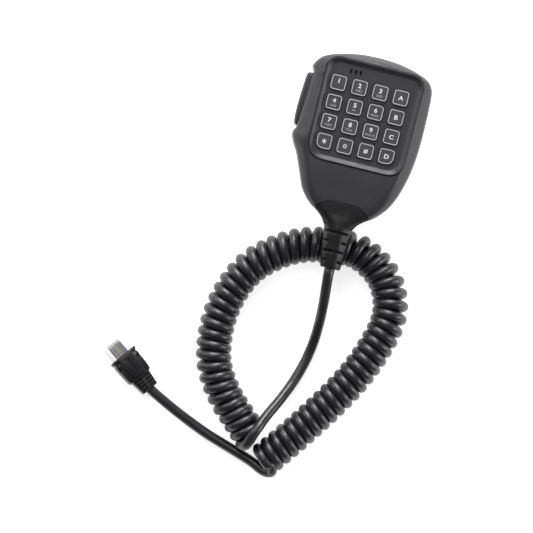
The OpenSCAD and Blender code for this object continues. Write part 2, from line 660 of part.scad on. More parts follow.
boot_wall = 0.12;
module plug_boot() color("#232326") at_plug() difference() {
    union() {
        translate([rib_start + 1, -pad_w / 2, 0]) cube([-rib_start - 2.2, pad_w, boot_h / 2 + pad_rise]);
        skin([for (s = [[-boot_l, rib_w, rib_h], [rib_start - 0.4, rib_w + 2.4, rib_h + 0.4],
                    [rib_start + 0.4, boot_w - 1.4, boot_h - 0.2], [-8, boot_w, boot_h],
                    [-1.2, boot_w - 0.4, boot_h], [-1.1, boot_w, boot_h], [0, boot_w, boot_h]])
        [for (p = rounded(rect(-s[1] / 2, -s[2] / 2, s[1] / 2, s[2] / 2), min(s[1], s[2]) * 0.28, 4))
            [s[0], p[0], p[1]]]]);
    }
    translate([plug_back - boot_wall, -plug_w / 2 - boot_wall, -plug_h / 2 - boot_wall])
        cube([20, plug_w + 2 * boot_wall, plug_h + 2 * boot_wall]);
    translate([plug_back + 1, -latch_w / 2 - 0.4, 0]) cube([20, latch_w + 0.8, boot_h / 2 + pad_rise - 0.7]);
    translate([-boot_l - 1, 0, 0]) rotate([0, 90, 0]) cylinder(r = 2.2, h = 14);
    for (x = [-boot_l + 1.4, -boot_l + 3.8, -boot_l + 6.2]) for (s = [-1, 1])
        translate([x, s * 2.9 - 2.3, rib_h / 2 - 0.9]) cube([1.2, 4.6, 3]);
}

for (i = [0:15]) one_key(i);
front_case();
rear_cover();
keypad_panel();
key_mat();
circuit_board();
contact_domes();
board_parts();
board_screws();
mic_capsule();
capsule_boot();
dust_screen();
ptt_lever();
ptt_pin();
ptt_switch();
ptt_plunger();
hanger_button();
hanger_screw();
case_screws();
neck_boot();
cord_entry();
cord_clamp();
clamp_screws();
lead_socket();
lead_plug();
lead_wires();
cord_mic_tail();
cord_coil();
cord_plug_tail();
plug_body();
plug_latch();
plug_contacts();
plug_cores();
plug_boot();
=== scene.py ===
"""A palm hand microphone with a sixteen-key pad, a curly cord and a clear modular plug.

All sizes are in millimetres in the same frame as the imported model, and become metres
as the meshes are made.
"""

from __future__ import annotations

import logging
import math
from dataclasses import dataclass, field
from enum import Enum
from typing import Any, Optional, Sequence, Union

import bpy
from mathutils import Matrix, Vector

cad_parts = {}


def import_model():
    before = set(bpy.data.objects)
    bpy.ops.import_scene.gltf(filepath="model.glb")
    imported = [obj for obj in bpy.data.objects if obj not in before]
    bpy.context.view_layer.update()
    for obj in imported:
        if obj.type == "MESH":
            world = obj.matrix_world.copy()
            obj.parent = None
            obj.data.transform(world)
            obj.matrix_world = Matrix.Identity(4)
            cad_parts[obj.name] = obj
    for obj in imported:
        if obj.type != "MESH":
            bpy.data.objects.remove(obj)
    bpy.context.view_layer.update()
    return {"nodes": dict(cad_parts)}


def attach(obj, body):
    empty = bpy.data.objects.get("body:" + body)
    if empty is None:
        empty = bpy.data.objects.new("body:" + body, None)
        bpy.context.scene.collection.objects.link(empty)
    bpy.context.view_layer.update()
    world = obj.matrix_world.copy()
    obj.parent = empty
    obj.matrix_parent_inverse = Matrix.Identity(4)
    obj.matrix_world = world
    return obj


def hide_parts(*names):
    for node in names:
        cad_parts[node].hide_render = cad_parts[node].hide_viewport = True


LOG = logging.getLogger("hand_microphone")
MM = 0.001
Ring = list[Vector]
Colour = tuple[float, float, float]


# --- Shapes -------------------------------------------------------------------


def mix(a: Any, b: Any, share: float) -> Any:
    """The value a share of the way from a to b."""
    return a + (b - a) * share


def ease(share: float) -> float:
    """A share that starts and ends gently."""
    s = min(max(share, 0.0), 1.0)
    return s * s * (3 - 2 * s)


def spline(points: Sequence[Vector], steps: int) -> list[Vector]:
    """The smooth curve through a list of points.

    Args:
        points: The points it passes, in order.
        steps: How many pieces each stretch gets.

    Returns:
        The points along the curve, ends included.
    """
    line: list[Vector] = []
    last = len(points) - 1
    for i in range(last):
        a, b = points[max(i - 1, 0)], points[i]
        c, d = points[i + 1], points[min(i + 2, last)]
        for k in range(steps):
            t = k / steps
            line.append(
                0.5
                * (
                    2 * b
                    + (c - a) * t
                    + (2 * a - 5 * b + 4 * c - d) * t * t
                    + (3 * b - a - 3 * c + d) * t**3
                )
            )
    return line + [points[last].copy()]


def travelled(line: Sequence[Vector]) -> list[float]:
    """The distance along a line at each of its points."""
    far = [0.0]
    for a, b in zip(line, line[1:]):
        far.append(far[-1] + (b - a).length)
    return far


def along(line: Sequence[Vector], far: Sequence[float], distance: float) -> Vector:
    """The point at a distance along a line.

    Args:
        line: The line's points.
        far: The distance at each point, from travelled.
        distance: How far along the wanted point is.

    Returns:
        The point.
    """
    low, high = 0, len(far) - 1
    while high - low > 1:
        middle = (low + high) // 2
        if far[middle] <= distance:
            low = middle
        else:
            high = middle
    step = far[high] - far[low]
    return mix(line[low], line[high], (distance - far[low]) / step if step else 0.0)


def bend(a: Vector, b: Vector, c: Vector, length: float, steps: int = 8) -> list[Vector]:
    """A corner at b between a and c, rounded from a length before it to a length after."""
    s, e = b + (a - b).normalized() * length, b + (c - b).normalized() * length
    return [mix(mix(s, b, k / steps), mix(b, e, k / steps), k / steps) for k in range(steps + 1)]


def flat_box(x0: float, y0: float, x1: float, y1: float) -> list[Vector]:
    """The four corners of a rectangle, anticlockwise from the lower right."""
    return [Vector((x1, y0)), Vector((x1, y1)), Vector((x0, y1)), Vector((x0, y0))]


def rounded(corners: Sequence[Vector], length: float, steps: int = 6) -> list[Vector]:
    """A polygon with every corner rounded alike."""
    n = len(corners)
    return [
        p
        for i in range(n)
        for p in bend(corners[i - 1], corners[i], corners[(i + 1) % n], length, steps)
    ]


def raised(line: Sequence[Vector], z: float) -> Ring:
    """A flat line lifted to a height."""
    return [Vector((p.x, p.y, z)) for p in line]


# --- Workbench ------------------------------------------------------------------


class Cut(Enum):
    """How one solid is combined with another."""

    AWAY = "DIFFERENCE"
    WITH = "UNION"
    INSIDE = "INTERSECT"


class Bench:
    """The modelling moves that the sub-assemblies share."""

    @staticmethod
    def pick(*pieces: bpy.types.Object) -> None:
        """Selects just these pieces, the first of them active."""
        bpy.ops.object.select_all(action="DESELECT")
        for piece in pieces:
            piece.select_set(True)
        bpy.context.view_layer.objects.active = pieces[0] if pieces else None

    @staticmethod
    def loft(name: str, rings: Sequence[Ring], closed: bool = False) -> bpy.types.Object:
        """A skin over rings of equal count.

        Args:
            name: The piece's name.
            rings: The rings, in order, in millimetres.
            closed: True where the last ring is joined to the first, and no end is capped.

        Returns:
            The piece.
        """
        Bench.pick()
        rows = list(rings) + ([rings[0]] if closed else [])
        count, last = len(rows[0]), len(rows) - 1
        bpy.ops.mesh.primitive_grid_add(x_subdivisions=count, y_subdivisions=last, size=1)
        piece = bpy.context.object
        piece.name = piece.data.name = name
        for vertex in piece.data.vertices:
            i, j = round((vertex.co.x + 0.5) * count), round((vertex.co.y + 0.5) * last)
            vertex.co = rows[j][i % count] * MM
        bpy.ops.object.mode_set(mode="EDIT")
        bpy.ops.mesh.select_all(action="SELECT")
        bpy.ops.mesh.remove_doubles(threshold=0.002 * MM)
        if not closed:
            bpy.ops.mesh.fill_holes(sides=0)
            bpy.ops.mesh.select_all(action="SELECT")
        bpy.ops.mesh.normals_make_consistent(inside=False)
        bpy.ops.object.mode_set(mode="OBJECT")
        if sum(face.center.dot(face.normal) * face.area for face in piece.data.polygons) < 0:
            bpy.ops.object.mode_set(mode="EDIT")
            bpy.ops.mesh.flip_normals()
            bpy.ops.object.mode_set(mode="OBJECT")
        return piece

    @staticmethod
    def prism(name: str, line: Sequence[Vector], z0: float, z1: float) -> bpy.types.Object:
        """A flat outline drawn up from one height to another."""
        return Bench.loft(name, [raised(line, z0), raised(line, z1)])

    @staticmethod
    def box(name: str, low: Sequence[float], high: Sequence[float]) -> bpy.types.Object:
        """A block between two corners, to be cut with or shaped further."""
        Bench.pick()
        middle = [(a + b) / 2 * MM for a, b in zip(low, high)]
        bpy.ops.mesh.primitive_cube_add(size=1, location=middle)
        piece = bpy.context.object
        piece.name = piece.data.name = name
        piece.scale = [(b - a) * MM for a, b in zip(low, high)]
        Bench.settle(piece)
        return piece

    @staticmethod
    def post(
        name: str, x: float, y: float, radius: float, z0: float, z1: float, sides: int = 48
    ) -> bpy.types.Object:
        """An upright round post between two heights."""
        Bench.pick()
        bpy.ops.mesh.primitive_cylinder_add(
            vertices=sides,
            radius=radius * MM,
            depth=(z1 - z0) * MM,
            location=(x * MM, y * MM, (z0 + z1) / 2 * MM),
        )
        piece = bpy.context.object
        piece.name = piece.data.name = name
        Bench.settle(piece)
        return piece

    @staticmethod
    def settle(piece: bpy.types.Object) -> None:
        """Applies a piece's place, turn and scale to its mesh."""
        Bench.pick(piece)
        bpy.ops.object.transform_apply(location=True, rotation=True, scale=True)

    @staticmethod
    def place(piece: bpy.types.Object, matrix: Matrix) -> None:
        """Moves a piece made about the origin to its place."""
        piece.matrix_world = matrix
        Bench.settle(piece)

    @staticmethod
    def turned(name: str, profile: Sequence[tuple[float, float]], sides: int = 96) -> bpy.types.Object:
        """A turned solid about +Z.

        Args:
            name: The piece's name.
            profile: Radius and height along the profile.
            sides: Facets round it.

        Returns:
            The piece.
        """
        rings = []
        for radius, z in profile:
            turn = [2 * math.pi * k / sides for k in range(sides)]
            reach = max(radius, 0.01)
            rings.append([Vector((reach * math.cos(a), reach * math.sin(a), z)) for a in turn])
        return Bench.loft(name, rings)

    @staticmethod
    def combine(target: bpy.types.Object, tool: bpy.types.Object, way: Cut) -> None:
        """Cuts, joins or keeps what two solids share, and puts the tool away."""
        Bench.pick(target)
        change = target.modifiers.new(way.name.lower(), "BOOLEAN")
        change.operation, change.solver, change.object = way.value, "EXACT", tool
        bpy.ops.object.modifier_apply(modifier=change.name)
        bpy.data.meshes.remove(tool.data)

    @staticmethod
    def join(pieces: Sequence[bpy.types.Object], name: str) -> bpy.types.Object:
        """Joins pieces into the first of them."""
        Bench.pick(*pieces)
        bpy.ops.object.join()
        pieces[0].name = pieces[0].data.name = name
        return pieces[0]

    @staticmethod
    def soften(piece: bpy.types.Object, width: float, segments: int = 2, angle: float = 40.0) -> None:
        """Rounds a piece's sharp edges."""
        Bench.pick(piece)
        change = piece.modifiers.new("soften", "BEVEL")
        change.width, change.segments = width * MM, segments
        change.limit_method, change.angle_limit = "ANGLE", math.radians(angle)
        bpy.ops.object.modifier_apply(modifier=change.name)

    @staticmethod
    def finish(
        piece: bpy.types.Object, finish: "Finish", body: str, slot: str, *nodes: str, angle: float = 35.0
    ) -> bpy.types.Object:
        """Shades, paints and mounts a finished piece.

        Args:
            piece: The piece.
            finish: Its finish, where it has none yet.
            body: The moving body it rides on.
            slot: The record's material slot; not used.
            nodes: The CAD nodes it stands for.
            angle: The sharpest edge that is shaded smooth, in degrees.

        Returns:
            The piece.
        """
        Bench.pick(piece)
        bpy.ops.object.shade_smooth_by_angle(angle=math.radians(angle))
        if not [m for m in piece.data.materials if m]:
            piece.data.materials.clear()
            piece.data.materials.append(finish.material())
        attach(piece, body)
        if nodes:
            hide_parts(*nodes)
        LOG.info("%s: %d faces on %s", piece.name, len(piece.data.polygons), body)
        return piece


# --- Finishes -------------------------------------------------------------------


class Wire:
    """A shader socket that takes part in arithmetic."""

    def __init__(self, graph: "Graph", socket: bpy.types.NodeSocket) -> None:
        """Wraps an output socket of a graph."""
        self.graph, self.socket = graph, socket

    def _math(self, operation: str, *values: Union["Wire", float]) -> "Wire":
        """Adds one Math node on this and other values."""
        return self.graph.wire("Math", {"operation": operation}, dict(enumerate(values)))

    def __add__(self, other: Union["Wire", float]) -> "Wire":
        """This plus another."""
        return self._math("ADD", self, other)

    __radd__ = __add__

    def __mul__(self, other: Union["Wire", float]) -> "Wire":
        """This times another."""
        return self._math("MULTIPLY", self, other)

    __rmul__ = __mul__

    def __sub__(self, other: Union["Wire", float]) -> "Wire":
        """This less another."""
        return self._math("SUBTRACT", self, other)

    def __pow__(self, power: float) -> "Wire":
        """This to a power."""
        return self._math("POWER", self, power)

    def wave(self) -> "Wire":
        """The sine of this, in radians."""
        return self._math("SINE", self)

    def above(self, limit: float, width: float) -> "Wire":
        """0 below a limit, rising to 1 over a width."""
        levels = {0: self, 1: limit, 2: limit + width, 3: 0.0, 4: 1.0}
        return self.graph.wire("MapRange", {"clamp": True}, levels)


class Graph:
    """The node tree of one finish."""

    def __init__(self, name: str) -> None:
        """Starts an empty material."""
        self.made = bpy.data.materials.new(name)
        self.made.use_nodes = True
        self.tree = self.made.node_tree
        self.tree.nodes.clear()
        self.place = self.wire("TexCoord", output="Object")

    def node(
        self, kind: str, settings: Optional[dict[str, Any]] = None, sockets: Optional[dict[Any, Any]] = None
    ) -> bpy.types.Node:
        """Adds a node.

        Args:
            kind: The node's type, without its ShaderNode prefix.
            settings: Its settings, a ramp's stops among them.
            sockets: Values or wires by socket name or number.

        Returns:
            The node.
        """
        made = self.tree.nodes.new("ShaderNode" + kind)
        for key, value in (settings or {}).items():
            if key == "stops":
                ramp = made.color_ramp.elements
                for i, (position, colour) in enumerate(value):
                    stop = ramp[i] if i < len(ramp) else ramp.new(position)
                    stop.position, stop.color = position, (*colour, 1.0)
            else:
                setattr(made, key, value)
        for key, value in (sockets or {}).items():
            if isinstance(value, Wire):
                self.tree.links.new(value.socket, made.inputs[key])
            else:
                made.inputs[key].default_value = value
        return made

    def wire(
        self,
        kind: str,
        settings: Optional[dict[str, Any]] = None,
        sockets: Optional[dict[Any, Any]] = None,
        output: Union[int, str] = 0,
    ) -> Wire:
        """Adds a node as node does, and returns one of its outputs."""
        return Wire(self, self.node(kind, settings, sockets).outputs[output])

    def grain(
        self, size: float, detail: float = 2.0, rough: float = 0.5, place: Optional[Wire] = None
    ) -> Wire:
        """Cloudy noise, from 0 to 1, of about a size in millimetres."""
        sockets = {
            "Vector": place or self.place,
            "Scale": 1 / (size * MM),
            "Detail": detail,
            "Roughness": rough,
        }
        return self.wire("TexNoise", None, sockets)

    def cells(self, size: float) -> Wire:
        """Distance from the middles of cells of about a size in millimetres."""
        return self.wire("TexVoronoi", None, {"Vector": self.place, "Scale": 1 / (size * MM)})

    def stretched(self, scale: Colour, turn: Colour = (0.0, 0.0, 0.0)) -> Wire:
        """Object coordinates turned and drawn out, for marks that run one way."""
        return self.wire("Mapping", None, {"Vector": self.place, "Rotation": turn, "Scale": scale})

    def blend(self, low: Union[Colour, Wire], high: Union[Colour, Wire], share: Wire) -> Wire:
        """A colour between two others."""
        ends = [c if isinstance(c, Wire) else (*c, 1.0) for c in (low, high)]
        return self.wire("Mix", {"data_type": "RGBA"}, {0: share, 6: ends[0], 7: ends[1]}, output=2)

    def bumps(self, height: Wire, depth: float, strength: float = 1.0) -> Wire:
        """The normal of a surface with a height of a depth in millimetres."""
        return self.wire("Bump", None, {"Height": height, "Distance": depth * MM, "Strength": strength})

    def surface(self, sockets: dict[str, Any]) -> bpy.types.Material:
        """Ends the tree in a Principled surface and returns the material."""
        shader = self.wire("BsdfPrincipled", None, sockets)
        self.node("OutputMaterial", None, {"Surface": shader})
        return self.made


def shade(colour: Colour, factor: float) -> Colour:
    """A colour made lighter or darker."""
    return tuple(min(c * factor, 1.0) for c in colour)


@dataclass(frozen=True)
class Finish:
    """A named surface finish."""

    name: str
    colour: Colour

    def material(self) -> bpy.types.Material:
        """The finish's material, made once."""
        found = bpy.data.materials.get(self.name)
        return found or self.build(Graph(self.name))

    def build(self, graph: Graph) -> bpy.types.Material:
        """Builds the material. Each finish has its own."""
        raise NotImplementedError


@dataclass(frozen=True)
class MouldedPlastic(Finish):
    """Plastic from a spark-eroded mould: a fine even texture with faint handling marks."""

    roughness: float = 0.42
    texture: float = 0.34
    depth: float = 0.03
    handling: float = 0.1
    specular: float = 0.5

    def build(self, graph: Graph) -> bpy.types.Material:
        """Builds the textured plastic."""
        sand = graph.grain(self.texture, 3.0, 0.6)
        pits = graph.cells(self.texture * 1.9)
        cloud = graph.grain(14.0, 4.0, 0.55)
        drawn = graph.stretched((0.9, 0.12, 0.4), (0.0, 0.0, 0.6))
        rubbed = graph.grain(1.0, 2.0, 0.5, drawn).above(0.62, 0.1)
        tone = sand * 0.45 + cloud * 0.55
        colour = graph.blend(shade(self.colour, 0.78), shade(self.colour, 1.26), tone)
        worn = graph.blend(colour, shade(self.colour, 1.5), rubbed * self.handling)
        rough = self.roughness + (sand - 0.5) * 0.16 + (cloud - 0.5) * 0.12 - rubbed * (0.5 * self.handling)
        normal = graph.bumps(sand * 0.6 + pits * 0.4 + cloud * 0.2, self.depth)
        return graph.surface(
            {"Base Color": worn, "Roughness": rough, "Normal": normal, "Specular IOR Level": self.specular}
        )


@dataclass(frozen=True)
class SatinRubber(Finish):
    """Moulded rubber or flexible vinyl with a soft sheen and a bloom of fine dust."""

    roughness: float = 0.46
    texture: float = 0.5
    depth: float = 0.02
    bloom: float = 0.08
    shine: float = 0.5

    def build(self, graph: Graph) -> bpy.types.Material:
        """Builds the rubber."""
        skin = graph.grain(self.texture, 4.0, 0.55)
        cloud = graph.grain(6.0, 3.0, 0.5)
        specks = graph.grain(0.16, 1.0, 0.5).above(0.66, 0.06) * self.bloom
        colour = graph.blend(shade(self.colour, 0.7), shade(self.colour, 1.35), skin * 0.5 + cloud * 0.5)
        dusted = graph.blend(colour, (0.2, 0.2, 0.2), specks)
        rough = self.roughness + (cloud - 0.5) * 0.2 + (skin - 0.5) * 0.1 + specks * 0.6
        normal = graph.bumps(skin + cloud * 0.6, self.depth)
        return graph.surface(
            {
                "Base Color": dusted,
                "Roughness": rough,
                "Normal": normal,
                "Specular IOR Level": self.shine,
            }
        )


@dataclass(frozen=True)
class PrintInk(Finish):
    """Screen-printed ink, a little uneven in cover."""

    def build(self, graph: Graph) -> bpy.types.Material:
        """Builds the ink."""
        film, cloud = graph.grain(0.12, 2.0), graph.grain(2.4, 2.0)
        colour = graph.blend(shade(self.colour, 0.8), self.colour, film * 0.4 + cloud * 0.6)
        rough = 0.5 + (film - 0.5) * 0.2
        return graph.surface({"Base Color": colour, "Roughness": rough, "Normal": graph.bumps(film, 0.006)})


@dataclass(frozen=True)
class ClearPlastic(Finish):
    """Clear polycarbonate with faint flow lines."""

    def build(self, graph: Graph) -> bpy.types.Material:
        """Builds the clear plastic."""
        flow = graph.grain(1.0, 3.0, 0.6, graph.stretched((0.25, 1.0, 1.0), (0.0, 0.0, 0.6)))
        film = graph.grain(0.4, 2.0)
        colour = graph.blend(shade(self.colour, 0.94), self.colour, flow)
        return graph.surface(
            {
                "Base Color": colour,
                "Roughness": 0.06 + film * 0.08,
                "Normal": graph.bumps(flow, 0.02),
                "IOR": 1.5,
                "Transmission Weight": 0.96,
                "Specular IOR Level": 0.6,
            }
        )


@dataclass(frozen=True)
class Metal(Finish):
    """Plated metal, turned or drawn."""

    roughness: float = 0.28
    turned: bool = False

    def build(self, graph: Graph) -> bpy.types.Material:
        """Builds the metal, with turning rings about the Z axis where it was turned."""
        cloud, fine = graph.grain(3.0, 4.0, 0.6), graph.grain(0.2, 2.0)
        height = fine * 0.4 + cloud * 0.3
        if self.turned:
            split = graph.node("SeparateXYZ", None, {0: graph.place})
            x, y = Wire(graph, split.outputs[0]), Wire(graph, split.outputs[1])
            reach = (x * x + y * y) ** 0.5
            height = height + (reach * (2 * math.pi / (0.34 * MM)) + cloud * 2.0).wave() * 0.5
        colour = graph.blend(shade(self.colour, 0.82), shade(self.colour, 1.08), cloud)
        rough = self.roughness + (cloud - 0.5) * 0.18 + (fine - 0.5) * 0.08
        normal = graph.bumps(height, 0.008)
        return graph.surface({"Base Color": colour, "Roughness": rough, "Metallic": 1.0, "Normal": normal})


@dataclass(frozen=True)
class CircuitBoard(Finish):
    """Green solder mask over faint copper tracks."""

    def build(self, graph: Graph) -> bpy.types.Material:
        """Builds the board."""
        tracks = graph.cells(2.6).above(0.42, 0.05)
        weave, cloud = graph.grain(0.3, 2.0), graph.grain(5.0, 3.0)
        base = graph.blend(shade(self.colour, 0.75), shade(self.colour, 1.2), cloud)
        colour = graph.blend(base, shade(self.colour, 1.9), tracks * 0.4)
        normal = graph.bumps(tracks * 0.6 + weave * 0.2, 0.03)
        return graph.surface({"Base Color": colour, "Roughness": 0.3 + weave * 0.15, "Normal": normal})


class Paint:
    """The finishes of this microphone."""

    CASE = MouldedPlastic("case_plastic", (0.03, 0.03, 0.034), roughness=0.4, texture=0.42, depth=0.035)
    BACK = MouldedPlastic("back_plastic", (0.026, 0.026, 0.029), roughness=0.42, texture=0.42, depth=0.035)
    PANEL = MouldedPlastic("panel_plastic", (0.028, 0.028, 0.032), roughness=0.4, texture=0.3, depth=0.02)
    LEVER = MouldedPlastic("lever_plastic", (0.017, 0.017, 0.019), roughness=0.34, texture=0.36, depth=0.02)
    KEY = SatinRubber("key_rubber", (0.045, 0.045, 0.05), roughness=0.5, texture=0.3, bloom=0.02)
    # painted shade: a near-black rubber standing in for the shade in the narrow step down inside each key's
    # printed ring
    GROOVE_SHADE = SatinRubber("key_groove_painted_shade", (0.012, 0.012, 0.013), roughness=0.6)
    INK = PrintInk("key_ink", (0.8, 0.8, 0.8))
    RING_INK = PrintInk("ring_ink", (0.52, 0.52, 0.54))
    PALE_INK = PrintInk("letter_ink", (0.42, 0.42, 0.43))
    BOOT = SatinRubber("boot_vinyl", (0.008, 0.008, 0.0092), roughness=0.4, bloom=0.01, shine=0.4)
    CORD = SatinRubber(
        "cord_jacket", (0.013, 0.013, 0.0155), roughness=0.36, texture=0.8, depth=0.03, bloom=0.006, shine=0.8
    )
    CLEAR = ClearPlastic("clear_plastic", (0.96, 0.97, 0.98))
    BUTTON = Metal("button_steel", (0.62, 0.62, 0.64), turned=True)
    STEEL = Metal("plated_steel", (0.55, 0.56, 0.58))
    GOLD = Metal("contact_gold", (0.83, 0.62, 0.24), roughness=0.2)
    BOARD = CircuitBoard("board_mask", (0.02, 0.14, 0.05))
    CHIP = MouldedPlastic("chip_plastic", (0.02, 0.02, 0.022), roughness=0.5, texture=0.2)
    NYLON = MouldedPlastic("connector_nylon", (0.72, 0.69, 0.6), roughness=0.4, texture=0.3)
    MAT = SatinRubber("mat_rubber", (0.08, 0.08, 0.085), roughness=0.55)
    FELT = MouldedPlastic("screen_felt", (0.008, 0.008, 0.008), roughness=0.85, texture=0.15, depth=0.1)
    PLUNGER = MouldedPlastic("plunger_plastic", (0.45, 0.05, 0.04), roughness=0.35, texture=0.3)
    CORES = (
        MouldedPlastic("core_blue", (0.02, 0.05, 0.32), texture=0.15, depth=0.01),
        MouldedPlastic("core_black", (0.01, 0.01, 0.011), texture=0.15, depth=0.01),
        MouldedPlastic("core_green", (0.02, 0.2, 0.06), texture=0.15, depth=0.01),
        MouldedPlastic("core_orange", (0.6, 0.22, 0.02), texture=0.15, depth=0.01),
        MouldedPlastic("core_yellow", (0.62, 0.5, 0.06), texture=0.15, depth=0.01),
        MouldedPlastic("core_brown", (0.1, 0.035, 0.015), texture=0.15, depth=0.01),
        MouldedPlastic("core_white", (0.7, 0.7, 0.68), texture=0.15, depth=0.01),
        MouldedPlastic("core_pink", (0.6, 0.1, 0.28), texture=0.15, depth=0.01),
    )


# --- Studio and cord ------------------------------------------------------------


@dataclass
class Studio:
    """The camera, the lights and the pale floor."""

    middle: tuple[float, float] = (-32.1, -92.2)
    lean: float = 14.0
    wide: float = 288.0
    distance: float = 2000.0
    aim_z: float = 26.0

    def build(self) -> None:
        """Sets up the whole studio."""
        self.camera()
        self.floor()
        self.lamp("key", (-0.2, 1.0, 0.6), 0.75, 17.0)
        self.lamp("left", (-1.0, 0.3, 0.6), 0.6, 3.5)
        self.lamp("right", (1.05, 0.0, 0.45), 0.6, 5.0)
        self.lamp("above", (-0.3, 0.35, 1.2), 0.5, 3.0)
        world = bpy.data.worlds.new("studio")
        world.use_nodes = True
        back = world.node_tree.nodes["Background"]
        back.inputs[0].default_value, back.inputs[1].default_value = (0.97, 0.98, 1.0, 1.0), 0.14
        bpy.context.scene.world = world
        bpy.context.scene.view_settings.view_transform = "Standard"

    def camera(self) -> None:
        """Sets the camera, looking straight down with its top leaned to the left."""
        data = bpy.data.cameras.new("camera")
        data.sensor_width = 36.0
        data.lens = 36.0 * self.distance / self.wide
        data.clip_end = 20.0
        camera = bpy.data.objects.new("camera", data)
        bpy.context.collection.objects.link(camera)
        camera.location = (self.middle[0] * MM, self.middle[1] * MM, (self.distance + self.aim_z) * MM)
        camera.rotation_euler = (0.0, 0.0, math.radians(self.lean))
        bpy.context.scene.camera = camera

    def floor(self) -> None:
        """Lays the pale floor."""
        Bench.pick()
        bpy.ops.mesh.primitive_plane_add(size=6.0, location=(0.0, -0.1, -0.0004))
        floor = bpy.context.object
        floor.name = "floor"
        graph = Graph("floor_paint")
        soft = graph.grain(40.0, 2.0)
        colour = graph.blend((0.93, 0.93, 0.93), (0.95, 0.95, 0.95), soft)
        floor.data.materials.append(graph.surface(
            {"Base Color": colour, "Roughness": 0.8, "Emission Color": colour, "Emission Strength": 0.8}
        ))

    def lamp(self, name: str, place: Colour, size: float, watts: float) -> None:
        """Hangs a soft square lamp that faces the object's middle."""
        data = bpy.data.lights.new(name, "AREA")
        data.energy, data.size = watts, size
        lamp = bpy.data.objects.new(name, data)
        bpy.context.collection.objects.link(lamp)
        lamp.location = place
        way = Vector((-0.02, -0.08, 0.0)) - Vector(place)
        lamp.rotation_euler = way.to_track_quat("-Z", "Y").to_euler()


@dataclass
class PlugSeat:
    """Where the modular plug lies, and how it is turned."""

    at: tuple[float, float] = (-96.0, -158.9)
    turn: float = 144.0
    roll: float = 12.0
    z: float = 6.159

    def matrix(self) -> Matrix:
        """From the plug's own axes, +X to its tip and its latch on top, to its place."""
        place = Matrix.Translation(Vector((self.at[0], self.at[1], self.z)) * MM)
        turn = Matrix.Rotation(math.radians(self.turn), 4, "Z")
        return place @ turn @ Matrix.Rotation(math.radians(self.roll), 4, "X")

    def point(self, x: float, y: float, z: float) -> Vector:
        """A point of the plug in the object's frame, in millimetres."""
        return self.matrix() @ (Vector((x, y, z)) * MM) / MM


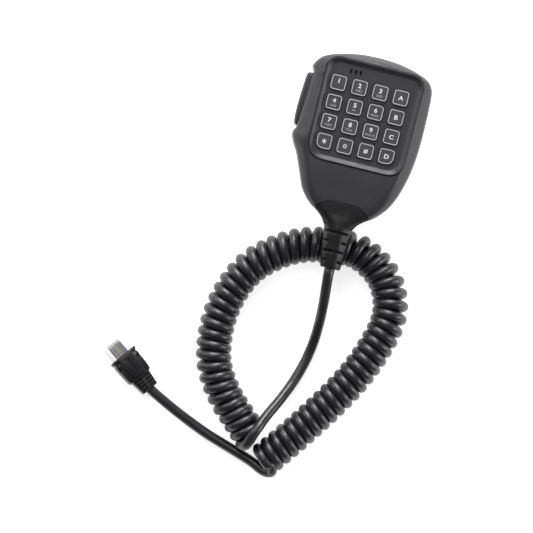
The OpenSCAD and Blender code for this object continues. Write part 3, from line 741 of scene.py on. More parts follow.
@dataclass
class Cord:
    """The curly cord, from the strain relief to the plug's boot."""

    seat: PlugSeat
    thick: float = 5.6
    wide: float = 19.8
    packed: float = 0.985
    spread: float = 0.35
    start_turn: float = 75.0
    end_turn: float = 20.0
    steps: int = 28
    route: tuple[tuple[float, float], ...] = (
        (-17.5, -184.5), (-27, -175.5), (-35.5, -167.5), (-42.5, -158.5), (-47.5, -149),
        (-50, -137.5), (-50.5, -126), (-49, -115), (-45.5, -104), (-40, -94), (-32, -86),
        (-22, -79), (-11, -74.5), (0, -73), (12, -72), (23, -76), (31.5, -82.5),
        (36.5, -90.5), (39, -99), (39, -108), (36, -120), (31.5, -132.5), (26, -144),
        (19, -156), (11.5, -167.5), (4, -178.5), (-8, -195),
    )  # fmt: skip
    mic_tail: tuple[Colour, ...] = (
        (1.3, -85, 28), (1.4, -89, 28), (2, -96, 25), (2.8, -105, 18.5), (3.2, -115, 10),
        (2.8, -126, 4.2), (0.8, -138, 2.85), (-2.8, -150, 4.5), (-7.5, -161, 10.5),
        (-12.5, -171, 16.5), (-16.2, -180, 21.6), (-19.4, -188.5, 18.6),
    )  # fmt: skip
    plug_tail: tuple[Colour, ...] = (
        (-3.8, -196.5, 15.5), (-2.6, -200, 12.5), (-7, -200.6, 9.5), (-15.5, -197, 7),
        (-27, -193.3, 5.2), (-42.5, -188.4, 4.2), (-58, -182, 4.6), (-69, -176.8, 5.6),
    )  # fmt: skip

    def curls(self) -> list[Vector]:
        """The helix, its turns laid against each other on the inside of each bend.

        Returns:
            The points of its middle line.
        """
        reach = (self.wide - self.thick) / 2
        middle_z = self.wide / 2 + 0.05
        line = spline([Vector((x, y, middle_z)) for x, y in self.route], 8)
        far = travelled(line)
        total = far[-1]
        pieces = 900
        turn, turns = 0.0, [0.0]
        for i in range(pieces):
            at = min(max(total * (i + 0.5) / pieces, 9.0), total - 9.0)
            a, b, c = (along(line, far, at + d) for d in (-9.0, 0.0, 9.0))
            bent = (b - a).angle(c - b) / 9.0
            pitch = self.thick * self.packed / (1 - self.spread * reach * bent)
            turn += 2 * math.pi * total / pieces / pitch
            turns.append(turn)
        first, last = math.radians(self.start_turn), math.radians(self.end_turn)
        whole = round((turn + first - last) / (2 * math.pi)) * 2 * math.pi + last - first
        count = round(whole / (2 * math.pi) * self.steps)
        points = []
        j = 0
        for k in range(count + 1):
            wanted = turn * k / count
            while j < pieces - 1 and turns[j + 1] < wanted:
                j += 1
            share = (j + (wanted - turns[j]) / (turns[j + 1] - turns[j])) / pieces
            at = total * share
            way = (along(line, far, min(at + 1.5, total)) - along(line, far, max(at - 1.5, 0.0))).normalized()
            side = Vector((way.y, -way.x, 0.0))
            angle = first + whole * k / count
            offset = Vector((0, 0, 1)) * math.cos(angle) - side * math.sin(angle)
            points.append(along(line, far, at) + offset * reach)
        return points

    def build(self) -> bpy.types.Object:
        coil = self.curls()
        mic = [Vector(p) for p in self.mic_tail]
        plug = [Vector(p) for p in self.plug_tail]
        exit_point = self.seat.point(-22.9, 0, 0)
        inside = self.seat.point(-19.0, 0, 0)
        lead = spline(mic + coil[:3], 8)[: len(mic) * 8]
        trail = spline(coil[-3:] + plug + [exit_point, inside], 8)[17:]
        points = lead + coil + trail
        data = bpy.data.curves.new("cord", "CURVE")
        data.dimensions, data.fill_mode, data.use_fill_caps = "3D", "FULL", True
        data.bevel_depth, data.bevel_resolution = self.thick / 2 * MM, 6
        line = data.splines.new("POLY")
        line.points.add(len(points) - 1)
        for spot, point in zip(line.points, points):
            spot.co = (*(point * MM), 1.0)
        line.use_smooth = True
        data.materials.append(Paint.CORD.material())
        cord = bpy.data.objects.new("curly_cord", data)
        bpy.context.collection.objects.link(cord)
        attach(cord, "microphone")
        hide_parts("cord_mic_tail", "cord_coil", "cord_plug_tail")
        self.length = travelled(points)[-1] * MM
        LOG.info("cord: %.3f m over %d points", self.length, len(points))
        return cord


# --- Case -----------------------------------------------------------------------


@dataclass
class CaseForm:
    """The case's form, which the shells, the neck's tongue and the bay share."""

    width: float = 66.0
    length: float = 86.5
    top: float = 32.0
    back: float = 8.5
    face: float = 36.0
    wall: float = 2.2
    edge_side: float = 6.8
    edge_top: float = 4.2
    frame_wide: float = 2.8
    gap: float = 0.15
    panel_under: float = 34.0
    right: tuple[tuple[float, float], ...] = (
        (0, 0), (0.006, 0.3), (0.028, 0.6), (0.06, 0.83), (0.1, 0.94), (0.16, 0.985), (0.32, 1),
        (0.5, 0.995), (0.62, 0.965), (0.72, 0.915), (0.82, 0.835), (0.9, 0.735), (0.96, 0.61), (1, 0.49),
    )  # fmt: skip
    left: tuple[tuple[float, float], ...] = (
        (0, 0), (0.006, 0.3), (0.028, 0.6), (0.06, 0.85), (0.1, 0.98), (0.148, 1.04), (0.185, 1.01),
        (0.36, 1.03), (0.53, 1.065), (0.58, 1.1), (0.635, 1.055), (0.7, 0.955), (0.82, 0.82),
        (0.9, 0.73), (0.96, 0.61), (1, 0.49),
    )  # fmt: skip
    front_levels: tuple[tuple[float, float], ...] = (
        (0.4, 0), (0.6, 0.01), (0.72, 0.05), (0.79, 0.14), (0.86, 0.36), (0.93, 0.62), (0.98, 0.86), (1, 1.1),
    )  # fmt: skip
    rear_levels: tuple[tuple[float, float], ...] = (
        (0, 1.1), (0.02, 0.85), (0.08, 0.5), (0.18, 0.25), (0.3, 0.08), (0.4, 0),
    )  # fmt: skip
    turn_inset: float = 0.7
    turn_share: float = 0.947
    outline: Ring = field(default_factory=list)
    facet: Ring = field(default_factory=list)
    shares: tuple[list[float], list[float]] = ((), ())

    def __post_init__(self) -> None:
        """Draws the outline, the face's edge and the shares that match other lines to them."""
        half = self.width / 2
        sides = [
            self.half(self.right, half, self.top, self.length, 1),
            self.half(self.left, half, self.top, self.length, -1),
        ]
        edge = half - self.edge_side
        edges = [
            self.half(self.right, edge, self.top - self.edge_top, self.length - self.edge_top, 1),
            self.half(self.left, edge * 0.97, self.top - self.edge_top, self.length - self.edge_top, -1),
        ]
        self.outline, self.facet = self.ring(*sides), self.ring(*edges)
        self.shares = tuple([d / travelled(side)[-1] for d in travelled(side)] for side in sides)

    @property
    def seam(self) -> float:
        """Where the case ends at the neck."""
        return self.top - self.length

    def back_at(self, y: float) -> float:
        """Height of the back, which rises towards the neck."""
        return self.back + 12 * ease((-18 - y) / (-18 - self.seam))

    def face_at(self, y: float) -> float:
        """Height of the face, which falls a little towards the neck."""
        return self.face - ease((-31 - y) / (-31 - self.seam))

    def parting_at(self, y: float) -> float:
        """Height of the parting line."""
        return self.back + 0.4 * (self.face - self.back) + 6 * max(0.0, (-18 - y) / (-18 - self.seam))

    def height(self, y: float, share: float) -> float:
        """Height at a share of the thickness, with the parting line at 0.4 of it."""
        low, mid, high = self.back_at(y), self.parting_at(y), self.face_at(y)
        return mix(low, mid, share / 0.4) if share < 0.4 else mix(mid, high, (share - 0.4) / 0.6)

    @staticmethod
    def half(
        profile: Sequence[tuple[float, float]], wide: float, top: float, length: float, way: int
    ) -> list[Vector]:
        """One side of an outline and its half of the bottom edge, from the top's middle."""
        curve = spline([Vector(p) for p in profile], 10)
        line = [Vector((way * w * wide, top - l * length)) for l, w in curve]
        end = line[-1]
        return line + [Vector((end.x * (1 - k / 12), end.y)) for k in range(1, 13)]

    @staticmethod
    def ring(right: list[Vector], left: list[Vector]) -> list[Vector]:
        """Both halves as one anticlockwise ring."""
        return right[::-1] + left[1:-1]

    def frame_line(self, grow: float) -> list[Vector]:
        """The keypad frame's outline drawn out by a width, matched to the case's outline."""
        top, low = Vector((24 + grow, 24.2 + grow)), Vector((23.6 + grow, -26.4 - grow))
        start, end = Vector((0, top.y)), Vector((0, low.y))
        half = [start] + bend(start, top, low, 5.5 + grow, 10) + bend(top, low, end, 7 + grow, 10) + [end]
        far = travelled(half)
        right, left = ([along(half, far, min(s, 1.0) * far[-1]) for s in shares] for shares in self.shares)
        return self.ring(right, [Vector((-p.x, p.y)) for p in left])

    def level(self, inset: float, share: float, lift: float = 0.0) -> Ring:
        """A ring drawn in from the outline, at a share of the thickness."""
        ring = []
        for out, edge in zip(self.outline, self.facet):
            p = mix(out, edge, inset)
            ring.append(Vector((p.x, p.y, self.height(p.y, share) + lift)))
        return ring

    def shrunk(self, ring: Ring, share: float, height: float, lift: float) -> Ring:
        """A ring drawn in towards the middle of the case, on its back or its face."""
        made = []
        for p in ring:
            y = mix(-8.0, p.y, share)
            made.append(Vector((p.x * share, y, self.height(y, height) + lift)))
        return made

    def flank(self) -> list[Ring]:
        """The front's rings from the turn of its face down to the parting line."""
        curve = spline([Vector(p) for p in self.front_levels], 5)
        rings = [
            self.level(max(inset, 0), share)
            for share, inset in curve
            if share > 0.405 and inset < self.turn_inset
        ]
        return rings[::-1]

    def crown(self, p: Vector, turn: Ring) -> float:
        """Height of the face at a point inside the turn of its edge."""
        spot, reach = p.xy, 9.0
        for a, b in zip(turn, turn[1:] + turn[:1]):
            way = b.xy - a.xy
            share = min(max((spot - a.xy).dot(way) / max(way.length_squared, 1e-9), 0.0), 1.0)
            reach = min(reach, (a.xy + way * share - spot).length)
        left = 1 - min(reach / 2.2, 1.0)
        return self.height(p.y, mix(self.turn_share, 1.0, 1 - left * left))

    def front_shell(self) -> bpy.types.Object:
        """The front moulding's wall, from the keypad's seat to the parting line."""
        seat = self.frame_line(self.frame_wide + self.gap)
        lip = self.frame_line(self.frame_wide + self.gap + 0.3)
        ledge = self.frame_line(0.4)
        turn = self.level(self.turn_inset, self.turn_share)
        lips = [Vector((p.x, p.y, self.crown(p, turn))) for p in lip]
        face = []
        for share in (0.12, 0.3, 0.5, 0.7, 0.88):
            row = [mix(a, b, share) for a, b in zip(lips, turn)]
            face.append([Vector((p.x, p.y, self.crown(p, turn))) for p in row])
        inner = [self.level(0.33, 0.4, 0.08), self.level(0.42, 0.75), self.level(1.1, 0.86)]
        for ring in inner:
            for p in ring:
                p.y = max(p.y, self.seam + self.wall)
        rings = [
            raised(ledge, self.panel_under - 1.2),
            raised(ledge, self.panel_under),
            raised(seat, self.panel_under),
        ]
        rings += [[Vector((p.x, p.y, q.z - 0.22)) for p, q in zip(seat, lips)], lips, *face, *self.flank()]
        rings += [self.level(0.0, 0.4, 0.08), *inner]
        return Bench.loft("front_shell", rings, closed=True)

    def rear_shell(self) -> bpy.types.Object:
        """The rear moulding's wall, open at the parting line."""
        curve = spline([Vector(p) for p in self.rear_levels], 5)
        outer = [self.level(max(inset, 0), max(share, 0)) for share, inset in curve]
        first = outer[0]
        floor = [self.shrunk(first, s, 0.0, 0.0) for s in (0.01, 0.2, 0.45, 0.7, 0.9)]
        rim, inner = self.level(0.0, 0.4, -0.08), [self.level(0.33, 0.4, -0.08), self.level(0.5, 0.3)]
        low = self.level(1.1, 0.1)
        for ring in (*inner, low):
            for p in ring:
                p.y = max(p.y, self.seam + self.wall)
        under = [self.shrunk(first, s, 0.0, self.wall) for s in (0.85, 0.45, 0.01)]
        return Bench.loft("rear_shell", [*floor, *outer[:-1], rim, *inner, low, *under])

    def solid(self) -> bpy.types.Object:
        """The whole form as one solid, to keep inner blocks inside it."""
        rear = [self.level(max(i, 0), s) for s, i in self.rear_levels]
        front = [self.level(i, s) for s, i in self.front_levels[1:]]
        ends = [self.shrunk(rear[0], s, 0.0, 0.0) for s in (0.1, 0.6)]
        return Bench.loft("form", [*ends, *rear, *front, self.shrunk(front[-1], 0.3, 1.0, 0.0)])


@dataclass
class Neck:
    """The arch at the neck, and the moulded boot with its strain relief."""

    form: CaseForm
    wide: float = 14.8
    end_wide: float = 11.2
    long: float = 21.0
    lean: float = 1.3
    neck_z: float = 28.0
    slot: float = 1.55

    def arch(self, grow: float = 0.0) -> list[Vector]:
        """The arch cut into the case's lower end, drawn in by a gap."""
        seam = self.form.seam
        points = [(17.6, -8.0, 0.5), (16.0, -0.4, 2.0), (9.5, 5.9, 4.5)]
        points += [(-x, y, r) for x, y, r in points[::-1]]
        corners = [Vector((x + math.copysign(grow, x), seam + y + (grow if y > -1 else 0))) for x, y, r in points]
        reach = [r for x, y, r in points]
        return [
            p for k in range(6) for p in bend(corners[k - 1], corners[k], corners[(k + 1) % 6], reach[k], 8)
        ]

    def open_case(self, shell: bpy.types.Object) -> None:
        """Cuts the arch out of the front moulding."""
        Bench.combine(shell, Bench.prism("arch", self.arch(), self.neck_z, self.form.face + 9), Cut.AWAY)

    def rows(self) -> list[Vector]:
        """Sections from the case out: place, half width, half height, squareness, lean and height."""
        seam = self.form.seam
        neck, end = seam - 9.5, seam - 9.5 - self.long
        half = self.wide / 2
        middle = mix(self.wide, self.end_wide, 0.45) / 2
        rows = [
            (seam + 7.0, 20.5, 7.5, 4.6, 0.1, -0.3),
            (seam + 3.0, 17.6, 7.4, 4.4, 0.1, -0.3),
            (seam + 0.0, 15.7, 7.3, 4.2, 0.1, -0.3),
            (seam - 2.0, 12.9, 7.25, 3.4, 0.1, -0.2),
            (seam - 4.4, 10.2, 7.3, 2.7, 0.1, 0.0),
            (seam - 7.0, 8.4, 7.4, 2.2, 0.1, 0.0),
            (neck, half, half, 2.0, 0.2, 0.0),
            (mix(neck, end, 0.5), middle, middle, 2.0, self.lean * 0.5, 0.0),
            (end + 0.9, self.end_wide / 2, self.end_wide / 2, 2.0, self.lean, 0.0),
        ]
        return spline([Vector(r) for r in rows], 6)

    def section(self, y: float, w: float, h: float, square: float, lean: float, lift: float) -> Ring:
        """One section of the boot."""
        ring = []
        for k in range(64):
            a = 2 * math.pi * (k + 0.5) / 64
            c, s = math.cos(a), math.sin(a)
            x = lean + w * math.copysign(abs(c) ** (2 / square), c)
            ring.append(Vector((x, y, self.neck_z + lift + h * math.copysign(abs(s) ** (2 / square), s))))
        return ring

    def build(self) -> None:
        """Models the boot with the tongue that fills the arch."""
        neck, end = self.form.seam - 9.5, self.form.seam - 9.5 - self.long
        rings = [self.section(*row) for row in self.rows()]
        half = self.end_wide / 2
        rings += [
            self.section(end + d, half - c, half - c, 2.0, self.lean, 0.0)
            for d, c in ((0.35, 0.12), (0.0, 0.6))
        ]
        rings += [self.section(end + d, 2.75, 2.75, 2.0, self.lean, 0.0) for d in (0.0, 3.0)]
        boot = Bench.loft("neck_boot_rubber", rings)
        for place, beside in ((0.6, False), (5.7, True), (10.9, False), (16.1, True)):
            share = place / self.long
            radius = mix(self.wide, self.end_wide, share) / 2
            self.cut_slot(boot, neck - place, radius, self.lean * share, beside)
        seam = self.form.seam
        waste = Bench.box("waste", (-30, seam - 0.1, 5), (30, seam + 20, 60))
        Bench.combine(waste, Bench.prism("arch_inside", self.arch(-0.16), self.neck_z + 0.2, 70), Cut.AWAY)
        Bench.combine(boot, waste, Cut.AWAY)
        Bench.soften(boot, 0.18, 2, 50)
        Bench.finish(boot, Paint.BOOT, "microphone", "boot_rubber", "neck_boot", angle=40)

    def cut_slot(self, boot: bpy.types.Object, y: float, r: float, lean: float, beside: bool) -> None:
        """Cuts the relief's slots at one place, on its front and its back.

        Args:
            boot: The boot.
            y: The slots' upper edge.
            r: The relief's radius there.
            lean: How far the relief has leaned there.
            beside: True for a pair of side slots with a spine between them.
        """
        for way in (-1, 1):
            for side in (-1, 1) if beside else (0,):
                x0, x1 = (side * r * 0.5, side * r * 1.1) if beside else (-r * 0.88, r * 0.88)
                z0, z1 = (r * 0.3, r * 1.2) if beside else (r * 0.42, r * 1.2)
                low = (lean + min(x0, x1), y - self.slot, self.neck_z + min(way * z0, way * z1))
                high = (lean + max(x0, x1), y, self.neck_z + max(way * z0, way * z1))
                Bench.combine(boot, Bench.box("slot", low, high), Cut.AWAY)


@dataclass
class Lever:
    """The push-to-talk lever and its bay in the side of the case."""

    form: CaseForm
    long: float = 30.5
    high: float = 15.0
    proud: float = 4.3
    middle_z: float = 20.5
    inner_x: float = -31.4
    bay_x: float = -28.7
    end_gap: float = 1.2
    gap: float = 0.7
    bay_wall: float = 2.0

    @property
    def top(self) -> float:
        """The lever's upper end."""
        return self.form.top - 0.185 * self.form.length - 0.2

    def bay(self, grow: float, out_x: float = -45.0) -> bpy.types.Object:
        """The bay's block, grown by a wall."""
        low = (
            out_x,
            self.top - self.long - self.end_gap - grow,
            self.middle_z - self.high / 2 - self.gap - grow,
        )
        high = (
            self.bay_x + grow,
            self.top + self.end_gap + grow,
            self.middle_z + self.high / 2 + self.gap + grow,
        )
        return Bench.box("bay", low, high)

    def outline(self, draw_in: float) -> list[Vector]:
        """The lever seen from the front, its outer face and ends drawn in."""
        top, low, out = self.top, self.top - self.long, -self.form.width / 2 - self.proud
        x = self.inner_x
        outer = spline(
            [
                Vector((x - 1.4, top - 0.1)),
                Vector((out + 2.1, top - 0.35)),
                Vector((out + 1.25, top - 1.6)),
                Vector((out + 0.75, top - 6)),
                Vector((out + 0.1, low + 12)),
                Vector((out + 0.35, low + 3.4)),
                Vector((out + 1.3, low + 0.9)),
                Vector((x - 1.8, low + 0.1)),
            ],
            6,
        )
        line = [Vector((x, top - 0.5)), *outer, Vector((x, low + 0.6))]
        middle = (top + low) / 2
        drawn = []
        for p in line:
            shift = draw_in * min((x - p.x) / 3.0, 1.0)
            way = 1 if p.y > middle else -1
            along_y = draw_in * 0.6 * way * abs(p.y - middle) / (self.long / 2)
            drawn.append(Vector((p.x + shift, p.y - along_y)))
        return drawn

    def build(self) -> None:
        """Models the lever as one crowned moulding."""
        half = self.high / 2
        rings = []
        for k in range(25):
            t = -1 + k / 12
            rings.append(raised(self.outline(0.25 * t * t + 1.5 * abs(t) ** 9), self.middle_z + half * t))
        lever = Bench.loft("talk_lever", rings)
        pin = Bench.post("pin_hole", -31.6, self.top - 2.8, 1.05, self.middle_z - 12, self.middle_z + 12)
        Bench.combine(lever, pin, Cut.AWAY)
        Bench.finish(lever, Paint.LEVER, "lever", "lever", "ptt_lever", angle=40)


@dataclass
class Case:
    """The two case mouldings."""

    form: CaseForm
    neck: Neck
    lever: Lever
    screw_at: tuple[tuple[float, float], ...] = ((-22.0, 23.0), (22.0, 23.0), (-19.0, -42.0), (19.0, -42.0))

    def build(self) -> None:
        """Models both mouldings and the boot at their lower end."""
        front = self.form.front_shell()
        self.neck.open_case(front)
        block = self.lever.bay(self.lever.bay_wall)
        Bench.combine(block, self.form.solid(), Cut.INSIDE)
        Bench.combine(front, block, Cut.WITH)
        Bench.combine(front, self.lever.bay(0.0), Cut.AWAY)
        rear = self.form.rear_shell()
        for x, y in self.screw_at:
            seat = self.form.back_at(y) + 3.4
            boss = Bench.post("boss", x, y, 4.1, self.form.back_at(y) + 0.4, self.form.parting_at(y) - 0.8)
            Bench.combine(rear, boss, Cut.WITH)
            Bench.combine(rear, Bench.post("head_hole", x, y, 3.1, 0.0, seat), Cut.AWAY)
            Bench.combine(rear, Bench.post("shank_hole", x, y, 1.7, 0.0, 40.0), Cut.AWAY)
        Bench.combine(rear, self.lever.bay(self.lever.bay_wall + 0.15), Cut.AWAY)
        Bench.finish(front, Paint.CASE, "microphone", "case_front", "front_case", angle=32)
        Bench.finish(rear, Paint.BACK, "microphone", "case_back", "rear_cover", angle=32)
        self.neck.build()


# --- Keypad ---------------------------------------------------------------------


@dataclass
class Keypad:
    """The keypad's framed panel and its sixteen keys."""

    form: CaseForm
    middle: tuple[float, float] = (-1.1, -3.1)
    pitch: tuple[float, float] = (11.5, 10.8)
    size: float = 8.4
    corner: float = 1.8
    cut_corner: float = 4.37
    gap: float = 0.3
    panel_z: float = 35.4
    key_z: float = 36.8
    crest_z: float = 36.8
    keys: tuple[tuple[str, str, str], ...] = (
        ("1", "1", ""), ("2", "2", "ABC"), ("3", "3", "DEF"), ("a", "A", ""),
        ("4", "4", "GHI"), ("5", "5", "JKL"), ("6", "6", "MNO"), ("b", "B", ""),
        ("7", "7", "PQRS"), ("8", "8", "TUV"), ("9", "9", "WXYZ"), ("c", "C", ""),
        ("star", "*", ""), ("0", "0", ""), ("hash", "#", ""), ("d", "D", ""),
    )  # fmt: skip
    slots: tuple[float, ...] = (-13.2, -10.6, -8.0)
    slot_y: float = 20.8

    def centre(self, i: int) -> tuple[float, float]:
        """The middle of a key."""
        x = self.middle[0] + (i % 4 - 1.5) * self.pitch[0]
        return x, self.middle[1] + (1.5 - i // 4) * self.pitch[1]

    def key_line(self, i: int, grow: float) -> list[Vector]:
        """A key's outline, grown by a gap."""
        x, y = self.centre(i)
        c = self.size / 2 + grow
        corners = flat_box(x - c, y - c, x + c, y + c)
        reach = [self.cut_corner if i == 15 else self.corner, self.corner, self.corner]
        reach.append(self.cut_corner if i == 12 else self.corner)
        return [
            p for k in range(4) for p in bend(corners[k - 1], corners[k], corners[(k + 1) % 4], reach[k] + grow, 8)
        ]

    def build(self) -> None:
        """Models the panel and every key."""
        self.panel()
        for i, (name, mark, letters) in enumerate(self.keys):
            self.key(i, name, mark, letters)

    def panel(self) -> None:
        """Models the panel: a sloped frame round a flat field with openings for the keys."""
        wide, crest, low = self.form.frame_wide, self.crest_z, self.form.panel_under
        profile = (
            (wide, low), (wide, crest - 0.42), (wide - 0.07, crest - 0.16), (wide - 0.22, crest - 0.03),
            (wide - 0.4, crest), (wide - 0.6, crest - 0.06), (wide - 0.8, crest - 0.2), (0.3, self.panel_z + 0.13),
            (0.08, self.panel_z + 0.02), (-0.2, self.panel_z), (-3.0, self.panel_z),
        )  # fmt: skip
        panel = Bench.loft("keypad_plate", [raised(self.form.frame_line(g), z) for g, z in profile])
        for i in range(16):
            hole = Bench.prism("key_hole", self.key_line(i, self.gap), low - 1, low + 4)
            Bench.combine(panel, hole, Cut.AWAY)
        for x in self.slots:
            line = rounded(flat_box(x - 0.6, self.slot_y - 1.3, x + 0.6, self.slot_y + 1.3), 0.55)
            Bench.combine(panel, Bench.prism("sound_slot", line, low - 1, low + 4), Cut.AWAY)
        Bench.finish(panel, Paint.PANEL, "microphone", "panel", "keypad_panel", angle=30)

    def key(self, i: int, name: str, mark: str, letters: str) -> None:
        """Models one key with its printed ring, the painted shade in the step inside the ring, and legends.

        Args:
            i: The key's place, row by row.
            name: The key's name.
            mark: Its main legend.
            letters: The small letters below it.
        """
        x, y = self.centre(i)
        low, top = self.form.panel_under - 1.3, self.key_z
        profile = ((0.0, low), (0.0, top - 0.34), (-0.03, top - 0.18), (-0.1, top - 0.06), (-0.24, top))
        cap = Bench.loft("key_" + name, [raised(self.key_line(i, g), z) for g, z in profile])
        for paint in (Paint.KEY, Paint.RING_INK, Paint.GROOVE_SHADE):
            cap.data.materials.append(paint.material())
        self.select_top(cap)
        # slot 2 paints the sloped step down inside the ring near-black, as painted shade
        for slot, wide, drop in ((1, 0.46, 0.0), (2, 0.2, -0.12), (2, 0.05, 0.05)):
            cap.active_material_index = slot
            bpy.ops.object.material_slot_assign()
            bpy.ops.mesh.inset(thickness=wide * MM, use_even_offset=True)
            bpy.ops.transform.translate(value=(0, 0, drop * MM))
        cap.active_material_index = 0
        bpy.ops.object.material_slot_assign()
        bpy.ops.object.mode_set(mode="OBJECT")
        face = top - 0.05
        marks = [self.legend(mark, x, y + (1.0 if letters or mark == "1" else 0.0), 2.45, Paint.INK, face)]
        if letters:
            marks.append(self.legend(letters, x, y - 1.75, 1.2, Paint.PALE_INK, face))
        Bench.join([cap, *marks], "keycap_" + name)
        Bench.finish(cap, Paint.KEY, "pad_" + name, "key", "key_" + name, angle=40)

    @staticmethod
    def select_top(piece: bpy.types.Object) -> None:
        """Opens a piece for editing with just its top face selected."""
        Bench.pick(piece)
        high = max(v.co.z for v in piece.data.vertices)
        bpy.ops.object.mode_set(mode="EDIT")
        bpy.context.tool_settings.mesh_select_mode = (False, False, True)
        bpy.ops.mesh.select_all(action="DESELECT")
        bpy.ops.object.mode_set(mode="OBJECT")
        for face in piece.data.polygons:
            face.select = face.normal.z > 0.99 and face.center.z > high - 0.01 * MM
        bpy.ops.object.mode_set(mode="EDIT")

    @staticmethod
    def legend(text: str, x: float, y: float, tall: float, paint: Finish, z: float) -> bpy.types.Object:
        """A raised legend of a height, centred on a point of a key.

        Args:
            text: What it says.
            x: Its middle across.
            y: Its middle along.
            tall: Its height.
            paint: Its ink.
            z: The height of the face that it is printed on.

        Returns:
            The legend's mesh.
        """
        if text == "*":
            return Keypad.star(x, y, tall * 1.1, paint, z)
        Bench.pick()
        bpy.ops.object.text_add()
        piece = bpy.context.object
        data = piece.data
        data.body, data.size = text, 10 * MM
        swell = 0.1 if len(text) > 1 or text == "0" else 0.26
        data.offset, data.extrude, data.resolution_u = swell * MM, 0.05 * MM, 4
        data.align_x, data.align_y = "CENTER", "CENTER"
        bpy.ops.object.convert(target="MESH")
        spots = [v.co.copy() for v in piece.data.vertices]
        low = Vector([min(p[k] for p in spots) for k in range(3)])
        high = Vector([max(p[k] for p in spots) for k in range(3)])
        scale = tall * MM / (high.y - low.y) * (0.9 if text == "0" else 1.0)
        centre = (low + high) / 2
        wider = 1.4 if text == "0" else 1.12
        turn = Matrix.Translation(Vector((x, y, z)) * MM) @ Matrix.Diagonal((scale * wider, scale, 0.5, 1.0))
        Bench.place(piece, turn @ Matrix.Translation(-centre))
        piece.data.materials.clear()
        piece.data.materials.append(paint.material())
        return piece

    @staticmethod
    def star(x: float, y: float, tall: float, paint: Finish, z: float) -> bpy.types.Object:
        """A raised six-armed star, centred on a point of a key."""
        arms = []
        for angle in (30.0, 90.0, 150.0):
            arm = Bench.box("arm", (-tall / 2, -0.2, -0.025), (tall / 2, 0.2, 0.025))
            turn = Matrix.Rotation(math.radians(angle), 4, "Z")
            Bench.place(arm, Matrix.Translation(Vector((x, y, z)) * MM) @ turn)
            arms.append(arm)
        for arm in arms[1:]:
            Bench.combine(arms[0], arm, Cut.WITH)
        arms[0].data.materials.clear()
        arms[0].data.materials.append(paint.material())
        return arms[0]


# --- Button, plug and inner pieces ------------------------------------------------


class HangerButton:
    """The turned button on the back that hangs in a clip."""

    def build(self) -> None:
        """Models the button as turned."""
        profile = (
            (2.6, 0.45), (2.8, 0.3), (6.9, 0.0), (7.55, 0.08), (7.9, 0.4), (8.0, 0.8), (8.0, 1.9), (7.85, 2.35),
            (7.4, 2.6), (5.4, 2.75), (4.7, 2.95), (4.5, 3.4), (4.5, 7.7), (4.7, 8.1), (5.5, 8.35), (5.5, 8.5),
        )  # fmt: skip
        button = Bench.turned("turned_button", [(0.01, 0.45), *profile])
        Bench.finish(button, Paint.BUTTON, "microphone", "steel", "hanger_button", angle=30)


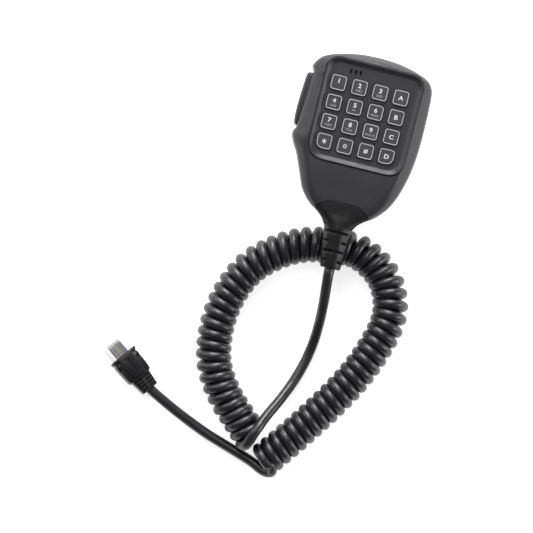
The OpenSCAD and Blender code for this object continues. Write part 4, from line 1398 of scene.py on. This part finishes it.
@dataclass
class PlugBoot:
    """The black boot over the modular plug, with its tongue and ribbed tail."""

    seat: PlugSeat
    def section(self, x: float, w: float, h: float, corner: float) -> Ring:
        """One rounded section across the boot."""
        line = rounded(flat_box(-w / 2, -h / 2, w / 2, h / 2), corner, 5)
        return [Vector((x, p.x, p.y)) for p in line]

    def build(self) -> None:
        """Models the boot and puts it on the plug."""
        rows = [
            (-22.9, 9.0, 7.4, 2.4), (-22.6, 9.8, 8.0, 2.4), (-14.8, 11.4, 8.4, 2.2), (-14.2, 13.0, 8.6, 1.8),
            (-13.4, 14.2, 9.0, 1.5), (-8.0, 14.8, 9.2, 1.3), (-2.2, 15.0, 9.2, 1.2), (-1.9, 14.4, 8.7, 1.2),
            (-1.0, 14.4, 8.7, 1.2), (-0.7, 15.8, 9.3, 1.2), (0.75, 15.8, 9.3, 1.2), (1.0, 15.4, 8.9, 1.2),
        ]  # fmt: skip
        boot = Bench.loft("plug_boot_rubber", [self.section(*r) for r in rows])
        tongue = Bench.loft(
            "tongue",
            [
                [Vector((x, p.x, p.y)) for p in rounded(flat_box(-w / 2, 0.0, w / 2, h), 1.0, 4)]
                for x, w, h in (
                    (-13.6, 7.0, 4.6), (-13.0, 7.8, 5.7), (-9.0, 8.2, 6.8), (-4.4, 8.6, 6.9), (-0.6, 9.2, 6.8),
                    (0.5, 9.6, 6.6), (0.9, 9.2, 6.2),
                )
            ],
        )  # fmt: skip
        Bench.combine(boot, tongue, Cut.WITH)
        cavity = Bench.box("cavity", (-11.22, -5.97, -3.42), (3, 5.97, 3.42))
        Bench.combine(boot, cavity, Cut.AWAY)
        Bench.combine(boot, Bench.box("latch_way", (-10.1, -3.4, 0), (3, 3.4, 6.0)), Cut.AWAY)
        for y in (-6.9, 6.9):
            Bench.combine(boot, Bench.box("notch", (-6.2, y - 0.9, 3.2), (-3.6, y + 0.9, 8)), Cut.AWAY)
        Bench.combine(boot, Bench.box("tongue_line", (-12.4, -0.18, 6.4), (-2.2, 0.18, 8)), Cut.AWAY)
        for x in (-21.6, -19.6, -17.6, -15.6):
            for z in (-1, 1):
                for y in (-1, 1):
                    low = (x - 0.45, min(y * 0.7, y * 6), min(z * 2.9, z * 6))
                    high = (x + 0.45, max(y * 0.7, y * 6), max(z * 2.9, z * 6))
                    Bench.combine(boot, Bench.box("groove", low, high), Cut.AWAY)
        Bench.soften(boot, 0.16, 2, 50)
        Bench.place(boot, self.seat.matrix())
        Bench.finish(boot, Paint.BOOT, "microphone", "boot_rubber", "plug_boot", angle=40)
        self.cores()

    def cores(self) -> None:
        """Models the eight coloured cores that show through the clear plug."""
        cores = []
        radius = 0.44
        for k, paint in enumerate(Paint.CORES):
            y = (k - 3.5) * 1.02
            way = ((-8.9, y * 0.8, 0.0), (-5.4, y * 0.95, 0.3), (-1.0, y, 0.5), (7.8, y, 0.4))
            line = [Vector(p) for p in way]
            rings = []
            for p in spline(line, 6):
                turn = [2 * math.pi * n / 12 for n in range(12)]
                ring = [Vector((p.x, p.y + radius * math.cos(a), p.z + radius * math.sin(a))) for a in turn]
                rings.append(ring)
            core = Bench.loft("core", rings)
            core.data.materials.append(paint.material())
            cores.append(core)
        cable = Bench.join(cores, "plug_wires")
        Bench.place(cable, self.seat.matrix())
        Bench.finish(cable, Paint.CORES[0], "microphone", "leads", "plug_cores", angle=60)


class Inner:
    """The CAD pieces whose shape stays, and the finish of each."""

    FINISHES = {
        "key_mat": Paint.MAT, "circuit_board": Paint.BOARD, "contact_domes": Paint.GOLD,
        "board_parts": Paint.CHIP, "board_screws": Paint.STEEL, "mic_capsule": Paint.STEEL,
        "capsule_boot": Paint.BOOT, "dust_screen": Paint.FELT, "ptt_pin": Paint.STEEL,
        "ptt_switch": Paint.CHIP, "ptt_plunger": Paint.PLUNGER, "hanger_screw": Paint.STEEL,
        "case_screws": Paint.STEEL, "cord_entry": Paint.CORD, "cord_clamp": Paint.STEEL,
        "clamp_screws": Paint.STEEL, "lead_socket": Paint.NYLON, "lead_plug": Paint.NYLON,
        "lead_wires": Paint.CORES[3], "plug_body": Paint.CLEAR, "plug_latch": Paint.CLEAR,
        "plug_contacts": Paint.GOLD,
    }  # fmt: skip

    def dress(self, nodes: dict[str, bpy.types.Object]) -> None:
        """Gives each kept CAD piece its finish.

        Args:
            nodes: The CAD pieces by name.
        """
        for name, finish in self.FINISHES.items():
            slots = nodes[name].data.materials
            if len(slots) == 0:
                slots.append(finish.material())
            for i in range(len(slots)):
                slots[i] = finish.material()
            LOG.info("%s: %s", name, finish.name)


def main() -> None:
    """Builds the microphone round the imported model."""
    logging.basicConfig(level=logging.INFO, format="%(message)s")
    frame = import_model()
    Studio().build()
    seat = PlugSeat()
    cord = Cord(seat)
    laid = cord.build()
    form = CaseForm()
    neck, lever = Neck(form), Lever(form)
    Case(form, neck, lever).build()
    lever.build()
    Keypad(form).build()
    HangerButton().build()
    PlugBoot(seat).build()
    Inner().dress(frame["nodes"])


if __name__ == "__main__":
    main()
